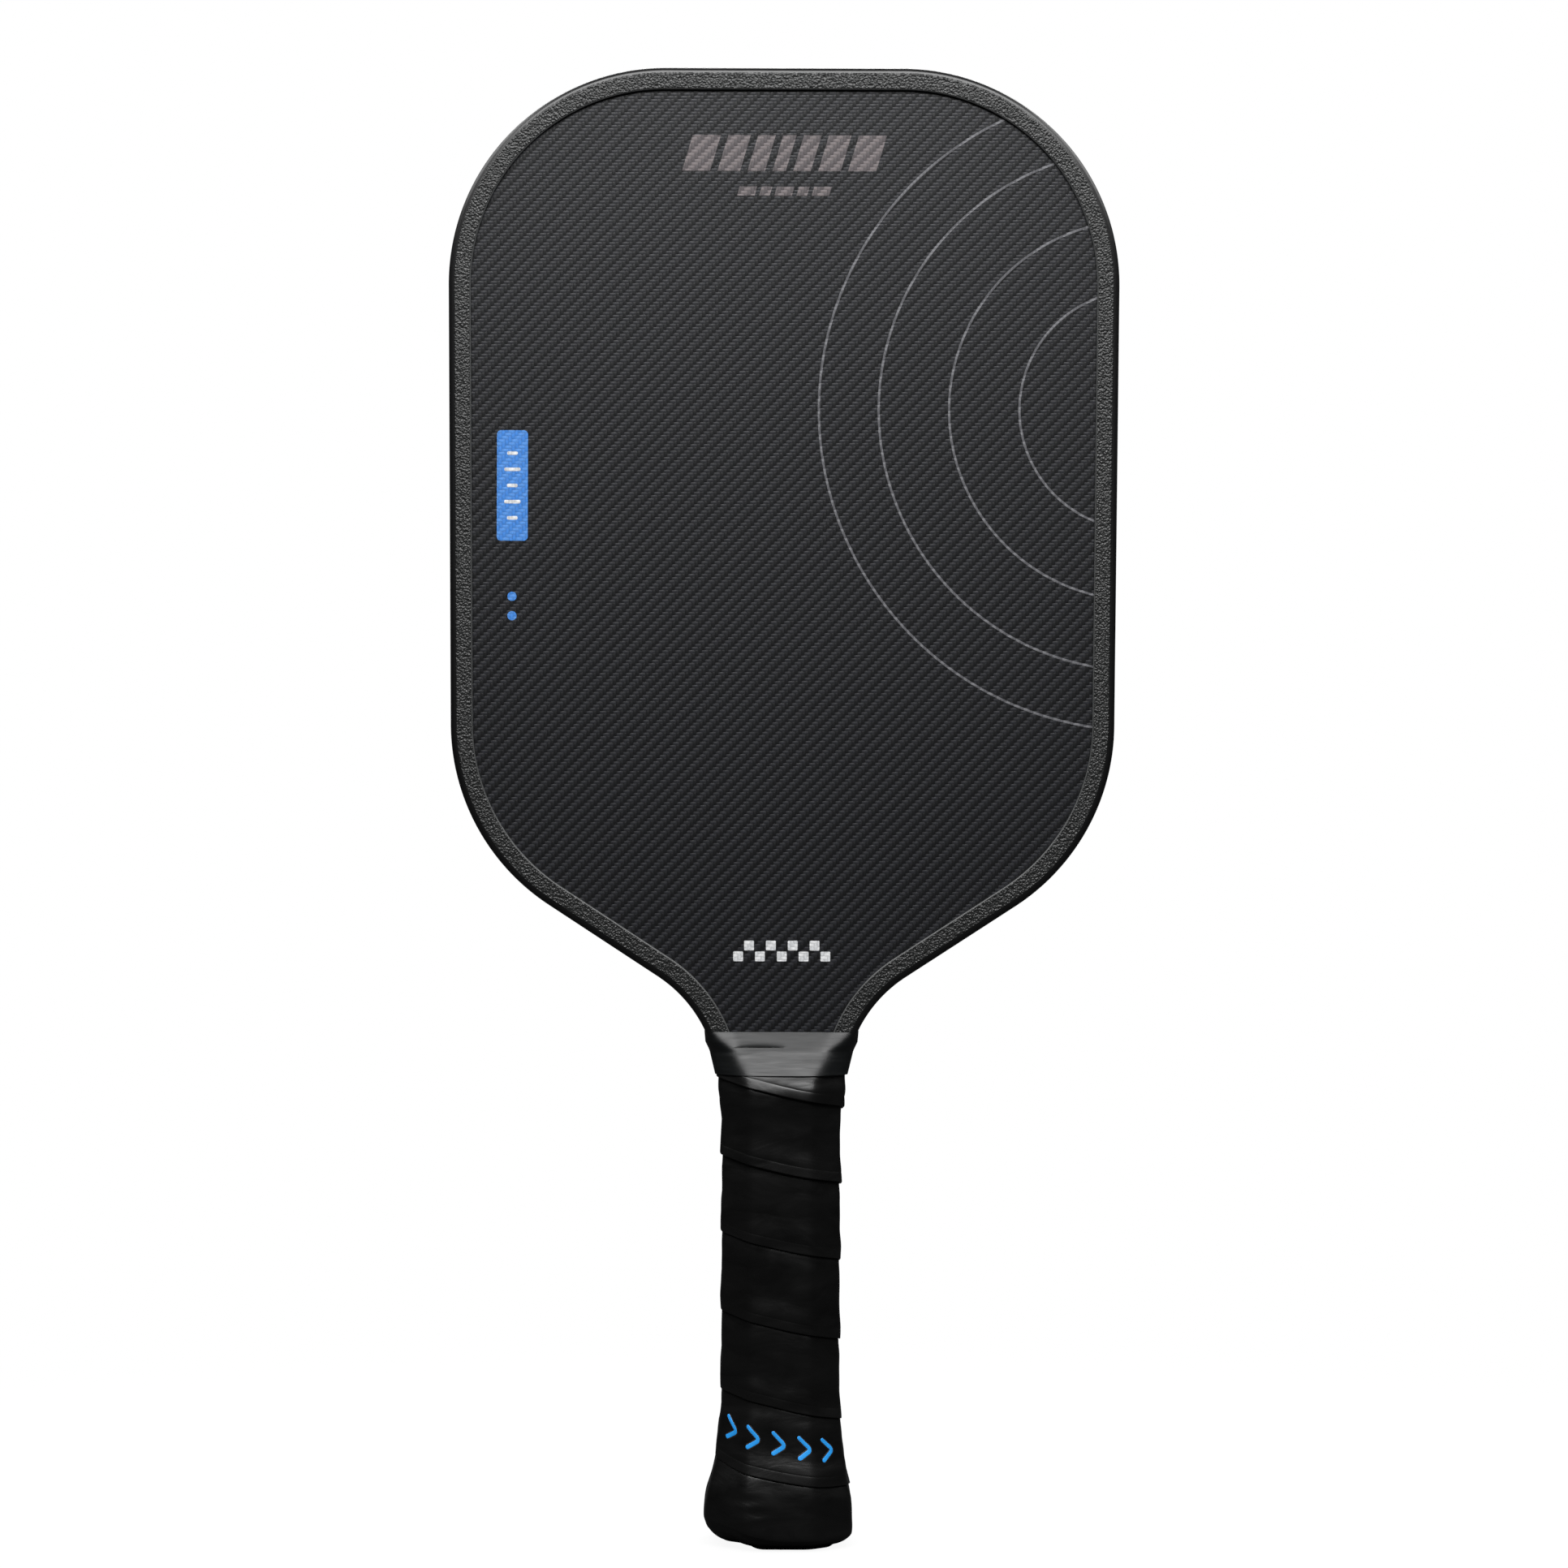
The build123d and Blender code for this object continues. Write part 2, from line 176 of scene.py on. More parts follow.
def swept_piece(name: str, rings: Array, along: Array, across: Array) -> bpy.types.Object:
    """Makes a closed bar through rings of corners, with both ends filled.

    Args:
        name: the piece's name.
        rings: corners by ring, then round the ring, in millimetres.
        along: the distance along the bar of each corner, with the first column repeated at the end.
        across: the distance round the ring of each corner, laid out the same way.

    Returns:
        The new object, with a UV map of those two distances in metres.
    """
    rows, cols = rings.shape[:2]
    quads = grid_quads(rows, cols, ring=True)
    wide = grid_quads(rows, cols + 1, ring=False)
    uv_grid = np.stack([along, across], axis=-1).reshape(-1, 2) * MM
    first = np.arange(cols)[::-1]
    last = (rows - 1) * cols + np.arange(cols)
    ends = np.concatenate([np.arange(cols)[::-1], (rows - 1) * (cols + 1) + np.arange(cols)])
    faces = quads.tolist() + [first.tolist(), last.tolist()]
    uv = np.concatenate([uv_grid[wide.ravel()], uv_grid[ends]])
    return make_piece(name, rings.reshape(-1, 3), faces, uv)


def rounded_path(corners: Array, radii: Array, step: float, closed: bool) -> tuple[Array, Array]:
    """Walks a polygon whose corners are rounded to arcs.

    Each arc starts one tangent length, which is its radius times the tangent of half the turn,
    before its corner, and is sampled at even angles. Straights are sampled at even distances.

    Args:
        corners: one row of two coordinates each.
        radii: one for each corner, 0 for a sharp one; the first and last don't count if open.
        step: distance between samples.
        closed: whether the last corner leads back to the first.

    Returns:
        The points, and the direction of travel at each as an angle.
    """
    count = len(corners)
    ahead = np.roll(corners, -1, axis=0) - corners
    heading = np.arctan2(ahead[:, 1], ahead[:, 0])
    lengths = np.hypot(ahead[:, 0], ahead[:, 1])
    turn = (heading - np.roll(heading, 1) + math.pi) % FULL_TURN - math.pi
    cut = radii * np.abs(np.tan(turn / 2))
    points, angles = [], []
    for k in range(count if closed else count - 1):
        if (closed or k > 0) and radii[k] > 0:
            n = max(3, int(abs(turn[k]) * radii[k] / step) + 1)
            a = heading[k - 1] + turn[k] * (np.arange(n) + 0.5) / n
            side = np.sign(turn[k])
            cos, sin = math.cos(heading[k - 1]), math.sin(heading[k - 1])
            start = corners[k] - cut[k] * np.array([cos, sin])
            centre = start + side * radii[k] * np.array([-sin, cos])
            points.append(centre + radii[k] * side * np.stack([np.sin(a), -np.cos(a)], axis=1))
            angles.append(a)
        begin = cut[k] if (closed or k > 0) else 0.0
        after = (k + 1) % count
        end = lengths[k] - (cut[after] if (closed or k < count - 2) else 0.0)
        n = max(2, int((end - begin) / step) + 1)
        t = np.linspace(begin, end, n)
        if radii[k] == 0 and (closed or k > 0):
            t = t[1:]
        direction = np.array([math.cos(heading[k]), math.sin(heading[k])])
        points.append(corners[k] + t[:, None] * direction)
        angles.append(np.full(n, heading[k]))
    return np.concatenate(points), np.unwrap(np.concatenate(angles))


# ---- the paddle's shape, in millimetres ----------------------------------------------------------


@dataclass(frozen=True)
class HeadOutline:
    """The flat shape seen from the front, over the edge guard."""

    length: float = 419.0
    top_width: float = 191.8
    base_width: float = 188.2
    throat_width: float = 45.7
    neck_height: float = 126.5
    neck_length: float = 26.0
    shoulder_rise: float = 46.4
    neck_half: float = 16.35
    radii: tuple[float, ...] = (0.0, 6.0, 37.6, 61.7, 61.6)
    depth_from: float = 100.0

    def path(self, low: float, step: float) -> tuple[Array, Array]:
        """Walks up the left side, over the top and down the right side.

        Args:
            low: the height at which the walk starts and ends.
            step: distance between samples.

        Returns:
            The points as x and z, and the outward direction at each.
        """
        throat = self.neck_height + self.neck_length
        right = np.array([
            (self.neck_half, 0.0),
            (self.neck_half, self.neck_height),
            (self.throat_width / 2, throat),
            (self.base_width / 2, throat + self.shoulder_rise),
            (self.top_width / 2, self.length),
        ])
        corners = np.concatenate([right * (-1, 1), right[::-1]])
        radii = np.array(self.radii + self.radii[::-1])
        points, angles = rounded_path(corners, radii, step, closed=False)
        keep = points[:, 1] >= low
        points, angles = points[keep], angles[keep]
        return points, np.stack([-np.sin(angles), np.cos(angles)], axis=1)

    def depth(self, points: Array) -> Array:
        """Measures how far points lie inside the outline, at the nearest sample of it.

        Args:
            points: one row of x and z each.

        Returns:
            The distances, which are negative outside.
        """
        edge, outward = self.path(self.depth_from, 1.0)
        gap = points[:, None, :] - edge[None, :, :]
        nearest = np.argmin((gap**2).sum(axis=2), axis=1)
        rows = np.arange(len(points))
        return -(gap[rows, nearest] * outward[nearest]).sum(axis=1)

    def half_width(self, height: Array) -> Array:
        """Finds the half width at heights below the widest part of the head.

        Args:
            height: heights over the butt.

        Returns:
            Half the width of the outline at each.
        """
        points, _ = self.path(0.0, 0.5)
        left = points[: len(points) // 4]
        return -np.interp(height, left[:, 1], left[:, 0])


@dataclass(frozen=True)
class HandleShape:
    """The bare eight-sided handle, its flared cap and its ramp onto the face."""

    half_width: float = 14.75
    half_depth: float = 13.0
    half_facet: float = 7.75
    panel_half: float = 7.65
    neck_height: float = 126.5
    ramp: float = 14.0
    tip: float = 0.5
    taper: float = 0.25
    cap_height: float = 33.0
    cap_mouth: float = 0.6
    cap_flare: float = 4.0
    cap_flare_height: float = 8.5
    cap_rim: float = 6.0
    corner_power: float = 34.0
    bridge_start: float = 129.5
    bridge_slope: float = 0.06
    bridge_bend: float = 133.0
    bridge_dive: float = 0.56
    bridge_eases: tuple[float, float] = (0.8, 0.2)

    @property
    def slant(self) -> tuple[float, float]:
        """Finds the direction that the slanted facets face, square to their own line.

        Returns:
            Its x and y, of length 1.
        """
        run = self.half_width - self.half_facet
        rise = self.half_depth - self.panel_half
        length = math.hypot(run, rise)
        return rise / length, run / length

    def facets(self, height: Array) -> tuple[Array, Array, Array]:
        """Measures the bare handle's facets, flat up to the neck and then along the ramp.

        Args:
            height: heights over the butt.

        Returns:
            The distances from the axis to the side, front and slanted facets.
        """
        climb = np.maximum(0.0, height - self.neck_height)
        share = np.minimum(1.0, climb / self.ramp)
        side = self.half_width + self.taper * climb
        front = self.half_depth - share * (self.half_depth - self.panel_half - self.tip)
        nx, ny = self.slant
        return side, front, nx * side + ny * self.panel_half

    def bridged(self, height: Array) -> tuple[Array, Array, Array]:
        """Measures the facets as a tight wrap does, which spans the foot of the ramp.

        The span is two straight slopes with rounded bends, and counts where it is above the ramp.

        Args:
            height: heights over the butt.

        Returns:
            The distances from the axis to the side, front and slanted facets.
        """
        side, front, slant = self.facets(height)
        slow, quick = self.bridge_eases
        span = self.half_depth - self.bridge_slope * bend(height, self.bridge_start, slow)
        span = span - self.bridge_dive * bend(height, self.bridge_bend, quick)
        return side, np.maximum(front, span), slant

    def ring(
        self, turns: Array, side: Array, front: Array, slant: Array, power: float
    ) -> tuple[Array, Array]:
        """Places points on an eight-sided section with softened corners.

        The distance from the axis is the power mean of the three facets' distances along the ray,
        (sum of (facing / distance)^p)^(-1/p), so that it follows each facet and rounds between.

        Args:
            turns: turns from the right side, going over the front, left and back.
            side: distance to the side facets.
            front: distance to the front and back facets.
            slant: distance to the slanted facets.
            power: p, higher for sharper corners.

        Returns:
            The x and y of the points.
        """
        nx, ny = self.slant
        p = power
        cos, sin = np.cos(FULL_TURN * turns), np.sin(FULL_TURN * turns)
        c, s = np.abs(cos), np.abs(sin)
        reach = ((c / side) ** p + (s / front) ** p + ((nx * c + ny * s) / slant) ** p) ** (-1 / p)
        return reach * cos, -reach * sin

    def flare(self, height: Array) -> Array:
        """Measures how far the cap stands out from the handle.

        From below it is a quarter circle at the rim, a straight wall, and two opposite arcs that
        lead in to the mouth.

        Args:
            height: heights over the butt.

        Returns:
            The cap's stand-out at each.
        """
        rim = self.cap_rim
        drop = np.clip(rim - height, 0.0, rim)
        low = self.cap_flare - rim + np.sqrt(rim**2 - drop**2)
        span = self.cap_height - self.cap_flare_height
        fall = self.cap_flare - self.cap_mouth
        radius = (span**2 + fall**2) / (4 * fall)
        climb = np.clip(height - self.cap_flare_height, 0.0, span)
        run = np.minimum(climb, span - climb)
        arc = radius - np.sqrt(radius**2 - run**2)
        high = np.where(climb < span / 2, self.cap_flare - arc, self.cap_mouth + arc)
        return np.where(height < rim, low, high)


# ---- edge guard ----------------------------------------------------------------------------------


@dataclass(frozen=True)
class EdgeGuard:
    """Moulded strip round the head: a rounded smooth nose and a grained lip over each face."""

    outline: HeadOutline = field(default_factory=HeadOutline)
    low: float = 141.0
    half: float = 8.7
    lip: float = 6.4
    lip_thickness: float = 0.9
    wall: float = 1.6
    nose_radius: float = 1.8
    lip_radius: float = 0.3
    inner_radius: float = 0.1
    crown: float = 0.25
    crown_reach: float = 0.05
    step: float = 1.5
    fine_step: float = 0.4

    def section(self) -> tuple[Array, Array]:
        """Draws the section as outward distance and depth, round from the front lip's foot.

        It is a rounded channel whose nose bulges by a parabola across its depth.

        Returns:
            The points, and each one's distance from the middle of the nose, round the section, with
            one more for its start again.
        """
        channel = self.half - self.lip_thickness
        corners = np.array([
            (-self.lip, -channel),
            (-self.wall, -channel),
            (-self.wall, channel),
            (-self.lip, channel),
            (-self.lip, self.half),
            (0.0, self.half),
            (0.0, -self.half),
            (-self.lip, -self.half),
        ])
        small, lip, nose = self.inner_radius, self.lip_radius, self.nose_radius
        radii = np.array([small, small, small, small, lip, nose, nose, lip])
        points, _ = rounded_path(corners, radii, self.fine_step, closed=True)
        bulge = self.crown * (1 - (points[:, 1] / self.half) ** 2)
        points[:, 0] += np.where(points[:, 0] > -self.crown_reach, bulge - self.crown, 0.0)
        loop = np.concatenate([points, points[:1]])
        gone = walked(loop)
        on_nose = points[:, 0] > -self.wall / 2
        nose = np.argmin(np.where(on_nose, np.abs(points[:, 1]), np.inf))
        around = (gone - gone[nose] + gone[-1] / 2) % gone[-1]
        return points, np.abs(around - gone[-1] / 2)

    def build(self, finish: "Finish") -> bpy.types.Object:
        """Carries the section round the head's outline.

        A corner lies at the outline's point plus the outward direction times the section's first
        coordinate, and at the section's second coordinate in depth.

        Args:
            finish: the guard's material.

        Returns:
            The finished strip.
        """
        path, outward = self.outline.path(self.low, self.step)
        section, round_it = self.section()
        along = walked(path)
        flat = path[:, None, :] + outward[:, None, :] * section[None, :, :1]
        depth = np.broadcast_to(section[None, :, 1], flat.shape[:2])
        rings = np.stack([flat[..., 0], depth, flat[..., 1]], axis=-1)
        cols = len(section) + 1
        piece = swept_piece(
            "edge_guard_moulding",
            rings,
            np.repeat(along[:, None], cols, axis=1),
            np.repeat(round_it[None, :], len(path), axis=0),
        )
        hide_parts("edge_guard")
        piece.data.materials.append(finish.material())
        return piece


# ---- cushion grip --------------------------------------------------------------------------------


@dataclass(frozen=True)
class Ripple:
    """A sine along the turns, of a size in millimetres, with its rate and phase in radians."""

    size: float
    rate: float
    phase: float

    def at(self, turns: Array) -> Array:
        """size * sin(rate * turns + phase)."""
        return self.size * np.sin(self.rate * turns + self.phase)


@dataclass(frozen=True)
class Dent:
    """A soft hollow: where its middle lies in turns and height, and how far it spreads in each."""

    turn: float
    turn_spread: float
    height: float
    height_spread: float

    def at(self, turns: Array, height: Array) -> Array:
        """The product of a bell in turns and a bell in height, one deep in the middle."""
        across = bell(turns, self.turn, self.turn_spread)
        return across * bell(height, self.height, self.height_spread)


@dataclass(frozen=True)
class CushionGrip:
    """One skived polyurethane strip wound left-handed from the butt to the neck."""

    shape: HandleShape = field(default_factory=HandleShape)
    # the strip itself
    thickness: float = 1.9
    thin_end: float = 0.35
    thin_turns: float = 0.33
    edge: float = 0.25
    last_edge: float = 0.6
    last_edge_turns: tuple[float, float] = (4.2, 4.8)
    edge_round: float = 0.18
    groove_at: float = 2.75
    groove_depth: float = 0.04
    groove_half: float = 0.18
    lump: float = 0.05
    lump_rates: tuple[float, float, float, float] = (31.0, 0.35, 0.5, 9.0)
    # how the turns lap
    overlap: float = 2.9
    lap_turns: tuple[float, float] = (0.985, 1.01)
    lap_gap: float = 0.04
    outer_fade: float = 6.0
    inner_fade: float = 0.4
    press: float = 0.25
    press_run: tuple[float, float] = (4.5, 0.3)
    press_turns: tuple[float, float] = (-0.3, 0.0)
    # the helix
    rim_height: float = 1.0
    rim_drop: float = 1.9
    rim_drop_in: tuple[float, float] = (0.03, 0.11)
    rim_drop_out: tuple[float, float] = (0.30, 0.40)
    rim_drop_fade: float = 0.2
    start: float = -0.75
    start_rise: float = 19.5
    pitch: float = 22.5
    flare_turns: float = 2.0
    late_pitch: float = 21.7
    late_from: float = 4.2
    lean: float = 1.6
    sway: float = 1.6
    sway_mean: float = 0.3
    sway_phase: float = 0.15
    rides: tuple[tuple[float, float, float], ...] = ((1.9, 1.46, 0.07), (1.1, 1.05, 0.06))
    wander: tuple[Ripple, ...] = (Ripple(0.1, 5.1, 0.7), Ripple(0.08, 13.7, 2.1))
    top: float = 139.5
    hidden_from: float = 133.2
    most_turns: float = 9.0
    # its seat on the handle
    backing: float = 0.15
    clearance: float = 0.25
    bend_ease: float = 0.8
    bend_run: float = 5.0
    squeeze: float = 0.75
    squeeze_run: float = 4.0
    squeeze_lead: float = 0.2
    squeeze_ease: float = 0.8
    squeeze_most: float = 1.2
    corner_kept: float = 0.3
    corner_run: float = 2.0
    # the butt
    front_rim: float = 3.0
    front_rim_turn: float = 0.05
    front_rim_run: tuple[float, float] = (0.40, 0.85)
    butt_lean: float = 0.45
    butt_lean_in: tuple[float, float] = (1.0, 9.0)
    butt_lean_out: tuple[float, float] = (10.0, 24.0)
    dents: tuple[Dent, ...] = (Dent(0.325, 0.030, 13.4, 1.1), Dent(0.305, 0.035, 10.3, 1.2))
    dent_depth: float = 0.5
    waist_height: float = 18.6
    waist_spread: float = 3.6
    waist_sides: tuple[float, float] = (1.15, 0.5)
    # how finely it is sampled
    step: float = 0.62
    walk_height: float = 70.0
    walk_points: int = 2001
    search_points: int = 4000
    near: tuple[float, ...] = (
        0.0, 0.04, 0.1, 0.18, 0.4, 0.8, 1.3, 1.9, 2.4, 2.58, 2.68, 2.75, 2.82, 2.92, 3.2)
    near_share: float = 2.2
    far_count: int = 21
    inner_laps: tuple[float, ...] = (0.0, 0.5, 1.0, 1.15, 2.0)
    inner_shares: tuple[float, ...] = (0.3, 0.6, 1.0)

    def seam(self, turns: Array) -> Array:
        """Finds the height of the lower edge: level for one turn, a gentle climb, then the pitch.

        It leans down towards the left by half a cosine a turn, sways once a turn, rides up where
        it crosses the flare, and wanders by a few tenths, as a strip wound by hand does. On the
        first turn it drops over the rim at the front and the back.

        Args:
            turns: turns from the right side, over the front.

        Returns:
            The height at each.
        """
        climb_start = self.start + 1
        early = np.clip(turns - climb_start, 0.0, self.flare_turns - climb_start)
        middle = np.clip(turns - self.flare_turns, 0.0, self.late_from - self.flare_turns)
        late = np.maximum(turns - self.late_from, 0.0)
        rise = self.start_rise * early + self.pitch * middle + self.late_pitch * late
        lean = self.lean * (1 - np.cos(FULL_TURN * turns)) / 2
        sway = self.sway_mean - self.sway * np.cos(FULL_TURN * (turns - self.sway_phase))
        ride = sum(size * bell(turns, at, spread) for size, at, spread in self.rides)
        offset = sum(ripple.at(turns) for ripple in self.wander) + sway + ride - lean
        half_turn = turns % 0.5
        drop = smooth(half_turn, *self.rim_drop_in) * (1 - smooth(half_turn, *self.rim_drop_out))
        fade = smooth(turns, climb_start, climb_start + self.rim_drop_fade)
        drop = self.rim_drop * drop * (1 - fade)
        return self.rim_height - drop + rise + offset * np.minimum(1.0, rise / self.start_rise)

    def base(self, height: Array) -> Array:
        """Measures from the bare handle to the inside of the strip.

        Args:
            height: heights over the butt.

        Returns:
            The cap's flare and a clearance low down, then the backing, and a little more where the
            strip bends over the neck.
        """
        over_cap = self.shape.flare(np.maximum(height, 0.0)) + self.clearance
        share = np.clip((height - self.shape.cap_height) / self.overlap / 2, 0.0, 1.0)
        ease = bell(height, self.shape.neck_height, self.bend_run)
        mouth = self.shape.cap_mouth + self.clearance
        above = mouth * (1 - share) + self.backing * share + self.bend_ease * ease
        return np.where(height <= self.shape.cap_height, over_cap, above)

    def body(self, turns: Array) -> Array:
        """Thickness of the strip's middle, thinned to a feather over the first part of a turn."""
        full = smooth(turns, self.start, self.start + self.thin_turns)
        return self.thin_end + (self.thickness - self.thin_end) * full

    def laid(self, turns: Array) -> Array:
        """1 where the strip lies over the turn below, 0 on its first turn."""
        first, last = self.lap_turns
        return smooth(turns, self.start + first, self.start + last)

    def under(self, turns: Array, w: Array, fade: float) -> Array:
        """Finds how high the turn below lifts the strip.

        Args:
            turns: turns from the right side.
            w: distance above the lower edge.
            fade: the run over which the lift dies out past the lap.

        Returns:
            The lift: the thickness below, tapered evenly across the lap, then the fading rest.
        """
        share = np.clip(w / self.overlap, 0.0, 1.0)
        rest = self.thin_end + self.lap_gap
        lap = self.body(turns - 1) * (1 - share) + rest * share
        past = rest * (1 - smooth(w, self.overlap, self.overlap + fade))
        return self.laid(turns) * np.where(w < self.overlap, lap, past)

    def outer(self, turns: Array, w: Array, width: Array) -> Array:
        """Finds the lift of the outer surface: what lies below, plus the strip's own thickness.

        The thickness falls evenly to both long edges. A quarter circle rounds the lower edge, a
        fine groove runs along the skive, slow lumps cover the middle, and the surface is pressed
        in towards the turn above.

        Args:
            turns: turns from the right side.
            w: distance above the lower edge.
            width: the strip's width there.

        Returns:
            The lift over the strip's inner line.
        """
        edge = self.edge + (self.last_edge - self.edge) * smooth(turns, *self.last_edge_turns)
        body = self.body(turns)
        low = np.clip(w / self.overlap, 0.0, 1.0)
        high = np.clip((width - w) / self.overlap, 0.0, 1.0)
        edge = np.minimum(edge, body)
        from_low = edge + (body - edge) * low
        from_high = self.thin_end + (body - self.thin_end) * high
        short = np.clip(self.edge_round - w, 0.0, self.edge_round)
        nose = self.edge_round - np.sqrt(self.edge_round**2 - short**2)
        groove = self.groove_depth * bell(w, self.groove_at, self.groove_half)
        a, b, c, d = self.lump_rates
        lumps = self.lump * np.sin(a * turns + b * w) * np.sin(c * w + d * turns)
        to_next = self.seam(turns + 1) - self.seam(turns)
        far, close = self.press_run
        pressed = self.press * smooth(w, to_next - far, to_next - close)
        pressed = pressed * smooth(turns, *self.press_turns)
        detail = (lumps - groove) * np.minimum(1.0, low * high * 2) - pressed
        thick = np.minimum(from_low, from_high)
        return self.under(turns, w, self.outer_fade) + thick - nose + detail

    def kept(self, height: Array) -> Array:
        """Finds the share of the thickness left where the tape presses the strip.

        Args:
            height: heights over the butt.

        Returns:
            1 below the tape, falling evenly along a rounded bend.
        """
        start = self.hidden_from - self.squeeze_lead - self.squeeze_run
        pressed = bend(height, start, self.squeeze_ease) / self.squeeze_run
        return 1 - (1 - self.squeeze) * np.minimum(pressed, self.squeeze_most)

    def place(self, turns: Array, height: Array, lift: Array) -> Array:
        """Places points on the wound handle.

        Args:
            turns: turns from the right side, over the front.
            height: heights over the butt.
            lift: distances out from the strip's seat.

        Returns:
            The points, in millimetres.
        """
        side, front, slant = self.shape.bridged(height)
        left = lift * self.kept(height)
        out = self.base(height) + left
        held = smooth(height, self.hidden_from, self.hidden_from + self.corner_run)
        tight = left * (1 - self.corner_kept) * held
        distances = side + out, front + out, slant + out - tight
        x, y = self.shape.ring(turns, *distances, self.shape.corner_power)
        return np.stack([x, y, height], axis=-1)

    def even_turns(self, first: float, last: float, step: float) -> Array:
        """Finds turns at even distances round the wrapped handle.

        Args:
            first: the turn to start from.
            last: the turn to end at.
            step: the distance between two.

        Returns:
            The turns.
        """
        fine = np.linspace(0.0, 1.0, self.walk_points)
        height = np.full_like(fine, self.walk_height)
        gone = walked(self.place(fine, height, np.full_like(fine, self.thickness)))
        begin, end = (
            (math.floor(at) + np.interp(at - math.floor(at), fine, gone / gone[-1])) * gone[-1]
            for at in (first, last)
        )
        distance = np.linspace(begin, end, int((end - begin) / step) + 1)
        laps = np.floor(distance / gone[-1])
        return laps + np.interp(distance / gone[-1] - laps, gone / gone[-1], fine)

    def last_turn(self) -> float:
        """Turn at which the lower edge passes under the tape for good."""
        turns = np.linspace(self.flare_turns, self.most_turns, self.search_points)
        return float(turns[np.argmax(self.seam(turns) > self.hidden_from)])

    def butt_form(self, turns: Array, height: Array) -> Array:
        """Finds the extra lift at the butt.

        The front and back edges are fuller, by the difference of two quarter circles. The whole
        leans to the left, both sides have a waist, and the front has shallow dents.

        Args:
            turns: turns from the right side.
            height: heights over the butt.

        Returns:
            The lift to add.
        """
        c, s = np.cos(FULL_TURN * turns), np.sin(FULL_TURN * (turns + self.front_rim_turn))
        rim, front = self.shape.cap_rim, self.front_rim
        drop = np.clip(rim - height, 0.0, rim)
        tight = np.clip(front - height, 0.0, front)
        soft_edge = rim - np.sqrt(rim**2 - drop**2)
        hard_edge = front - np.sqrt(front**2 - tight**2)
        full = (soft_edge - hard_edge) * smooth(np.abs(s), *self.front_rim_run)
        dents = sum(dent.at(turns - np.floor(turns), height) for dent in self.dents)
        ease = smooth(height, *self.butt_lean_in) * (1 - smooth(height, *self.butt_lean_out))
        lean = self.butt_lean * c * ease
        right, left = self.waist_sides
        sides = right * np.maximum(c, 0) ** 4 + left * np.maximum(-c, 0) ** 4
        waist = bell(height, self.waist_height, self.waist_spread) * sides
        return full - lean - waist - self.dent_depth * dents

    def build(self, finish: "Finish") -> bpy.types.Object:
        """Carries the strip's closed section along its helix.

        The outer line runs up from the lower edge and the inner line back down; heights are the
        seam's height plus the distance w across the strip.

        Args:
            finish: the strip's material.

        Returns:
            The finished strip.
        """
        turns = self.even_turns(self.start, self.last_turn(), self.step)
        low = self.seam(turns)
        width = (np.minimum(self.seam(turns + 1) + self.overlap, self.top) - low)[:, None]
        near = np.array(self.near)
        far = np.linspace(0.0, 1.0, self.far_count + 1)[1:]
        scale = np.minimum(1.0, width / (self.near_share * near[-1]))
        lower = near[None, :] * scale
        upper = lower[:, -1:] + (width - lower[:, -1:]) * far[None, :]
        w_out = np.concatenate([lower, upper], axis=1)
        inner = np.array(self.inner_laps)[None, :] * self.overlap * scale
        inner_top = inner[:, -1:] + (width - inner[:, -1:]) * np.array(self.inner_shares)[None, :]
        w_in = np.concatenate([inner, inner_top], axis=1)[:, ::-1]
        t = turns[:, None]
        height, inner_height = low[:, None] + w_out, low[:, None] + w_in
        lift = self.outer(t, w_out, width) + self.butt_form(t, height)
        inner_lift = self.laid(t) * self.butt_form(t, inner_height)
        inner_lift = self.under(t, w_in, self.inner_fade) + inner_lift
        outer = self.place(t, height, lift)
        rings = np.concatenate([self.place(t, inner_height, inner_lift), outer], axis=1)
        across = np.concatenate([-w_in, w_out, -w_in[:, :1]], axis=1)
        along = np.repeat(walked(rings.mean(axis=1))[:, None], across.shape[1], axis=1)
        piece = swept_piece("cushion_grip_strip", rings, along, across)
        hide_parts("cushion_grip")
        piece.data.materials.append(finish.material())
        return piece


# ---- tape collar ---------------------------------------------------------------------------------


